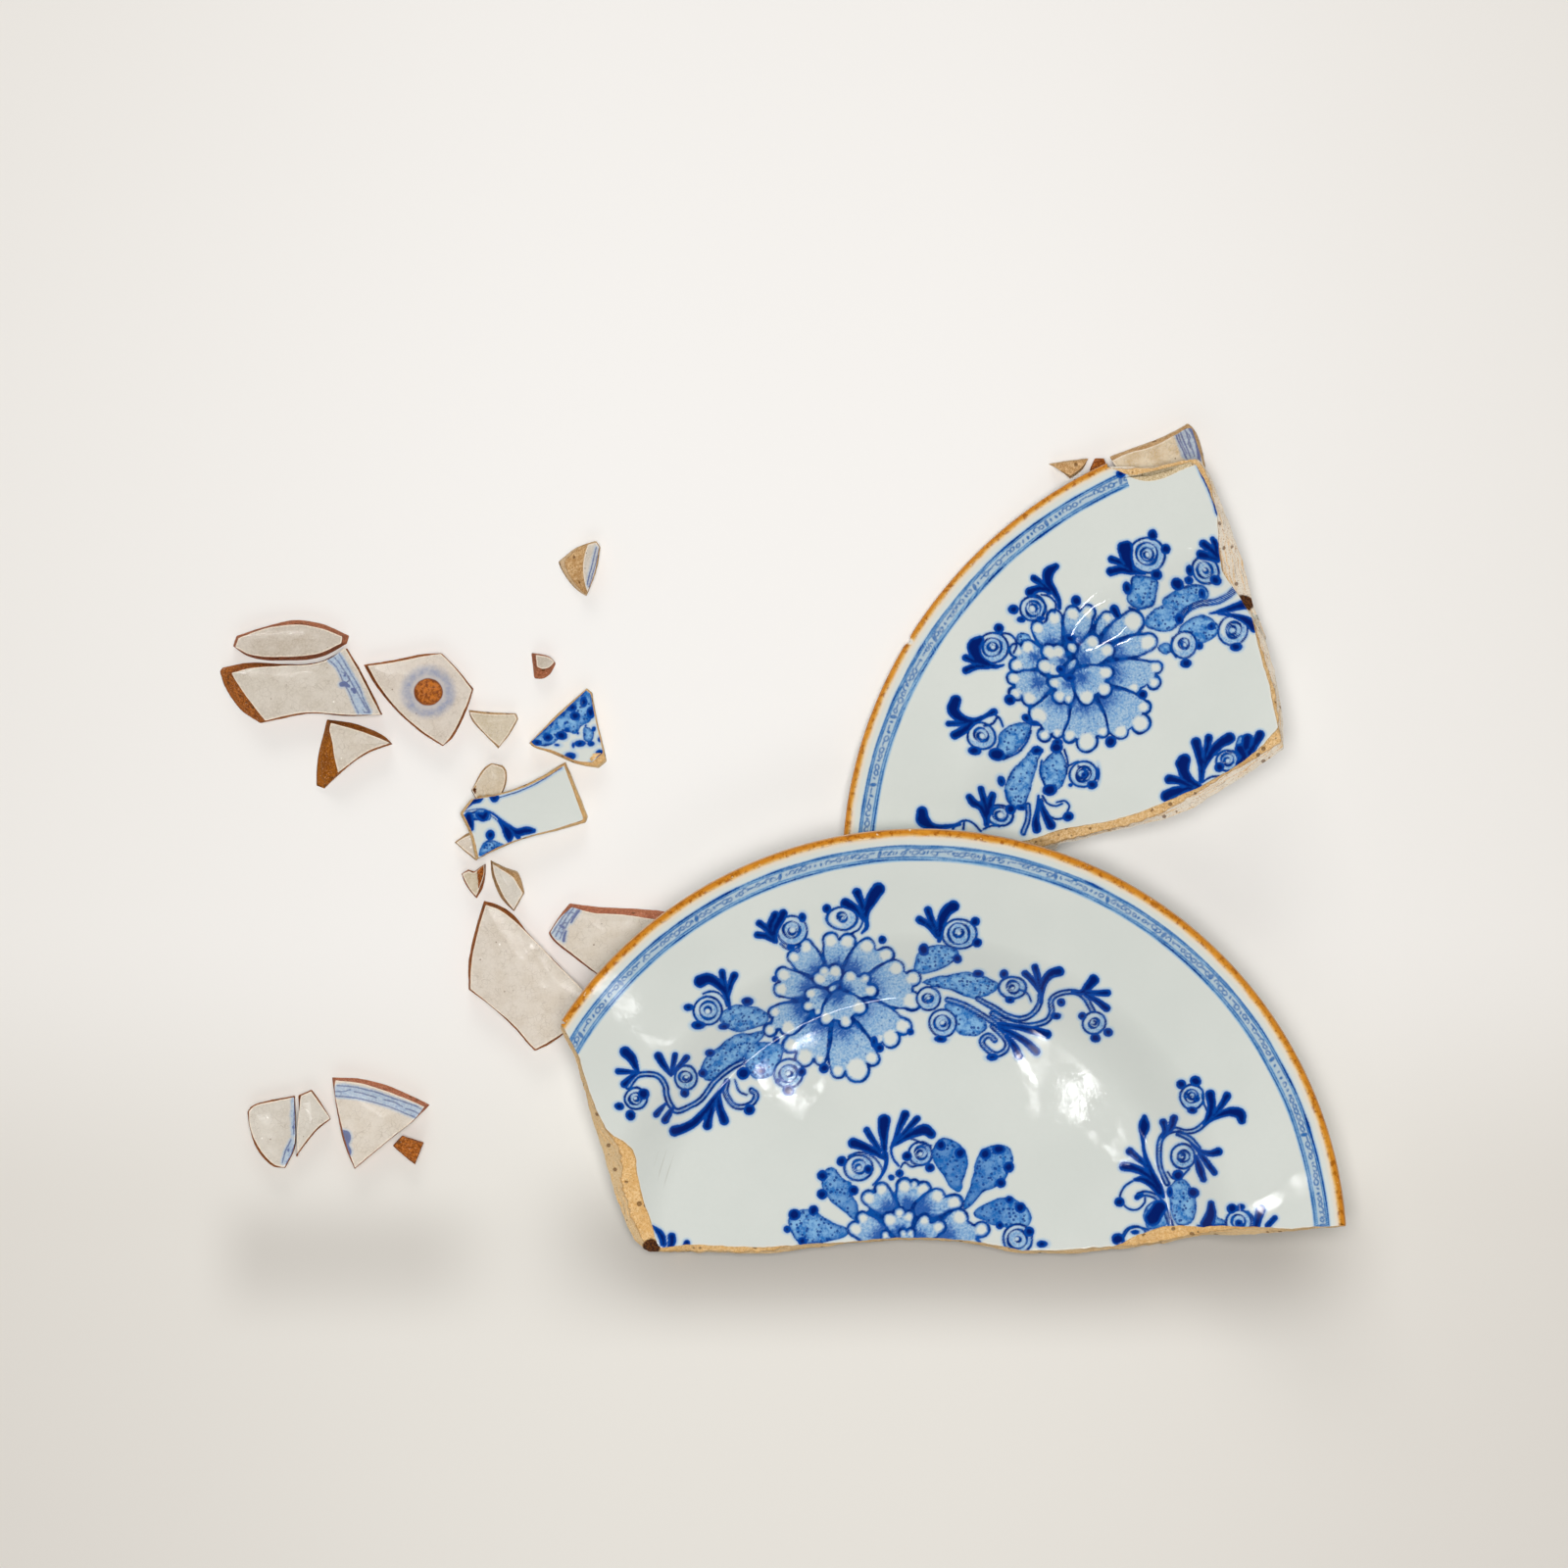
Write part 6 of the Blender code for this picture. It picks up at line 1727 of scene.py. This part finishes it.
small_sherd("fan_sherd", "pale_cream_painted", "pink_brown", 108, art={
    "washes": [
        [(-18.2, 16.2), (-11.3, 15.8), (-3.2, 13.8), (9.7, 9.3), (18.6, 5.3), (15.8, 2.1), (6.9, 6.1),
         (-5.3, 9.7), (-18.6, 11.4)],
    ],
    "leaves": [
        [(-15.4, -4.4), (-13.8, -4.4), (-12.9, -8.5), (-12.1, -11.7), (-12.9, -13.3), (-14.6, -10.1)],
    ],
    "lines": [
        [(-17.8, 16), (-11.3, 15.4), (-3.2, 13.6), (3.2, 11.6), (9.7, 9.3), (15, 7.1), (18.6, 5.3)],
        [(-18.6, 11.6), (-11.3, 10.9), (-5.3, 9.7), (0.8, 8.1), (6.9, 6.1), (12.1, 3.7), (15.8, 2.1)],
        [(-18.6, 13.4), (-15.4, 13.4), (-12.1, 14.2)], [(-10.5, 13.4), (-6.5, 12.6), (-1.6, 10.9)],
        [(1.6, 10.1), (5.7, 9.3), (9.3, 7.3)], [(10.5, 6.5), (13.7, 5.3), (17, 3.7)],
    ],
    "commas": [
        [(-15.6, -3.2, 1), (-14, -4.8, 1.8), (-13.6, -6.8, 1.2), (-14.4, -8.5, 1)],
        [(-13.6, -9.7, 1.1), (-12.9, -11.3, 1.2), (-13.3, -12.9, 0.6)],
    ],
})
small_sherd("split_chip", "grey_cream", "sandy", 109, art={}, bare=[(2.4, 5.6, 2.4, 1.8)])
small_sherd("corner_sherd", "tan_painted", "sandy", 110, art={
    "washes": [
        [(6.3, 10.8), (12.4, 13.6), (15.2, 7.1), (16.8, -0.1), (16, -3.4), (12.8, -1), (9.5, 0.7),
         (7.9, 6.3)],
    ],
    "lines": [
        [(6.9, 10.4), (8.3, 7.1), (9.9, 3.5), (11.8, -0.6)], [(8.7, 11.2), (10.7, 6.3), (13.2, 0.3)],
        [(10.7, 12.2), (12.4, 7.1), (14.8, 0.7)], [(7.7, 10.8), (9.5, 6.3), (11.5, 1.9)],
        [(11.5, 10.8), (12.8, 8.7), (12, 6.3), (13.2, 3.9)],
    ],
    "commas": [
        [(6.9, 10.4, 0.2), (8.7, 6.3, 0.2), (11.1, 0.3, 0.2)],
        [(8.7, 11.2, 0.2), (10.9, 5.9, 0.2), (13.2, -0.1, 0.2)],
        [(12.2, 13.6, 0.6), (14, 10, 0.7), (15.6, 5.5, 0.7), (16.6, 0.7, 0.7), (16.4, -2.6, 0.6)],
    ],
})

# The dotted sherd's cream glaze carries one large dot of ochre inside a soft grey-blue halo
tree = glazes["dotted_cream"].node_tree
shader = tree.nodes["Principled BSDF"]
where = add_node(tree, "ShaderNodeTexCoord").outputs["Object"]
plain = shader.inputs["Base Color"].links[0].from_socket
swayed = plus(carried(tree, "halo"), swayed_by(noise(where, 4.0, 4.0, 0.6), 2.4))
patchy = cloud(where, 2.4, 4.0, 0.65, 0.3, 0.7, 0.5, 1.0)
halo = times(ramp(swayed, 13.0, 9.0), patchy)
colour = blend(halo, plain, painted(152, 156, 174))
colour = blend(ramp(swayed, 8.2, 6.4, 0.0, 0.7), colour, painted(200, 190, 180))
grainy = noise(where, 1.2, 4.0, 0.7)
rust = blend(ramp(grainy, 0.4, 0.6), painted(128, 62, 12), painted(196, 112, 34))
rust = blend(ramp(swayed, 4.6, 6.0), rust, painted(118, 58, 18))
disc = plus(carried(tree, "halo"), times(noise(where, 3.0, 2.0), 0.5))
colour = blend(ramp(disc, 6.5, 5.9), colour, rust)
tree.links.new(colour, shader.inputs["Base Color"])
small_sherd("dotted_sherd", "dotted_cream", "red_brown", 111, halo=(4.3, 3.1))


# --------------------------------------------------------------------
# The painted white sherds, of the same ware as the dish. One leans on two others with its left
# end raised.

small_sherd("mottled_sherd", "white_painted", "buff", 120, art={
    "leaves": [
        [(-15.4, -5.8), (-11, -1.7), (-6.5, 2.7), (-2.1, 6), (2, 10.8), (7.6, 16.1), (10.1, 14.1),
         (10.9, 8.4), (9.3, 3.1), (5.2, 1.1), (3.6, -2.1), (-1.2, -1.7), (-4.5, -5.4), (-9.3, -7.8)],
        [(7.2, 0.3), (10.9, -1.3), (10.1, -5.4), (6.8, -4.9)],
    ],
    "dots": [
        (-12.6, -6, 2, 1.4), (-8.1, -3.9, 2.2, 1.8), (-2.5, -3.1, 2.6, 1.9), (0, -0.9, 1.2, 1),
        (3.2, 5, 2.4, 1.9), (-2.5, 6, 1.6, 1.2), (2, 8.4, 2, 1.6), (6.8, 10.8, 1.6, 2.4),
        (9.7, 6.4, 1.8, 2.6), (5.2, -6.4, 2.6, 1.5), (9.7, -6.6, 1.6, 1.2), (1.2, -11.4, 2.4, 1.5),
        (13.3, -11, 2, 2), (9.7, -15.1, 0.8, 1), (10.9, -0.5, 1, 1.2), (6, 14.1, 1, 1),
        (-6.9, 1.9, 1.4, 1.1), (13.3, -4.9, 0.8, 1.2), (2.4, -7, 0.8, 1.2), (4.4, -2.1, 0.6, 0.6),
        (7.6, 1.1, 0.6, 0.5), (-0.8, 1.9, 0.7, 0.6), (-4.5, -7, 1.2, 0.6),
    ],
}, bare=[(12.6, -12.8, 3.0, 2.4)])
small_sherd("bridge_sherd", "white_painted", "buff", 121, lean=math.radians(7.2), art={
    "leaves": [
        [(-18.6, -18), (-17.4, -14.3), (-15.4, -11.9), (-12.6, -11.9), (-9.7, -13.5), (-8.5, -14.3),
         (-12.2, -16), (-15.4, -17.2)],
        [(-25.9, -2.2), (-22.3, -0.6), (-17.4, 0.6), (-14.2, -1), (-14.6, -3.8), (-19.9, -4.2),
         (-23.9, -4.2)],
    ],
    "lines": [
        [(-11.9, 5), (-5.8, 6.8), (0.4, 9.2), (6.4, 12.1), (11.3, 15.1), (15.6, 17.6)],
        [(-25.9, -0.6), (-22.3, 0.2), (-17.4, 0.8), (-13.4, -0.6), (-9.3, -3.4), (-5.3, -6.3)],
        [(-14.2, -1.8), (-11, -4.2), (-8.9, -7.5)],
        [(-16.6, -15.5), (-15.4, -12.7), (-13, -13.1), (-11.8, -15.1)],
        [(-26.3, 1.4), (-23.1, 3.8), (-19.5, 3.8), (-17.4, 5)],
    ],
    "commas": [
        [(-26.5, -1, 0.8), (-24.7, 1.8, 1.5), (-21.9, 3.8, 1.5), (-19, 4.6, 1.4), (-17.8, 5.4, 1)],
        [(-23.1, -2.2, 1.8), (-22.7, -5, 2.2), (-21.5, -7.5, 1)],
        [(-19, -1.8, 1.4), (-17, -2.6, 2), (-15.8, -1, 1.4)],
        [(4, -8.1, 1), (0.8, -7.9, 1.9), (-2.9, -8.7, 1.7), (-6.5, -6.7, 1.1), (-10.2, -3.4, 0.6),
         (-14.2, -0.6, 0.4)],
        [(-6.1, -12.3, 1), (-6.5, -9.5, 2.2), (-8.5, -6.3, 1.5), (-10.6, -3.4, 0.6)],
        [(-2.5, -10.7, 1.1), (-4.9, -8.3, 1), (-8.1, -5.5, 0.6)],
        [(-13.8, 6.3, 0.8), (-12.6, 5, 1.6), (-11.4, 5.4, 1.2)],
    ],
    "dots": [(-14, -9.9, 2, 2.2), (-15.4, -13.9, 0.6)],
})
small_sherd("lower_prop", "warm_cream", "sandy", 122)


# --------------------------------------------------------------------
# Chips and crumbs of the bare body, some with a scrap of glaze left on.

small_sherd("lined_chip", "cream_painted", "sandy", 130, art={
    "commas": [
        [(7.3, 8.7, 0.2), (5.3, 1.1, 0.2), (3.4, -6.8, 0.2)],
        [(8.5, 8.3, 0.2), (6.3, -0.2, 0.2), (4.1, -7.8, 0.2)],
    ],
})
small_sherd(
    "upper_prop", "tan_cream", "sandy", 131, bare=[(-7.0, 0.0, 2.6, 7.0),
                                                                (0.0, -8.6, 8.0, 4.0)],
    soot=[(-6.0, -3.6, 1.5), (2.2, -4.0, 1.2)],
)
small_sherd("notched_chip", "tan_cream", "red_brown", 132, bare=[(3.6, 0.5, 2.0, 6.0)])
small_sherd("tip_sherd", None, "sandy", 133)
small_sherd("pebble_chip", "dull_cream", "rosy", 134, bare=[(3.8, -2.0, 2.6, 2.0)])
small_sherd("bare_chip", None, "red_brown", 135)
small_sherd("brick_chip", None, "red_brown", 136)
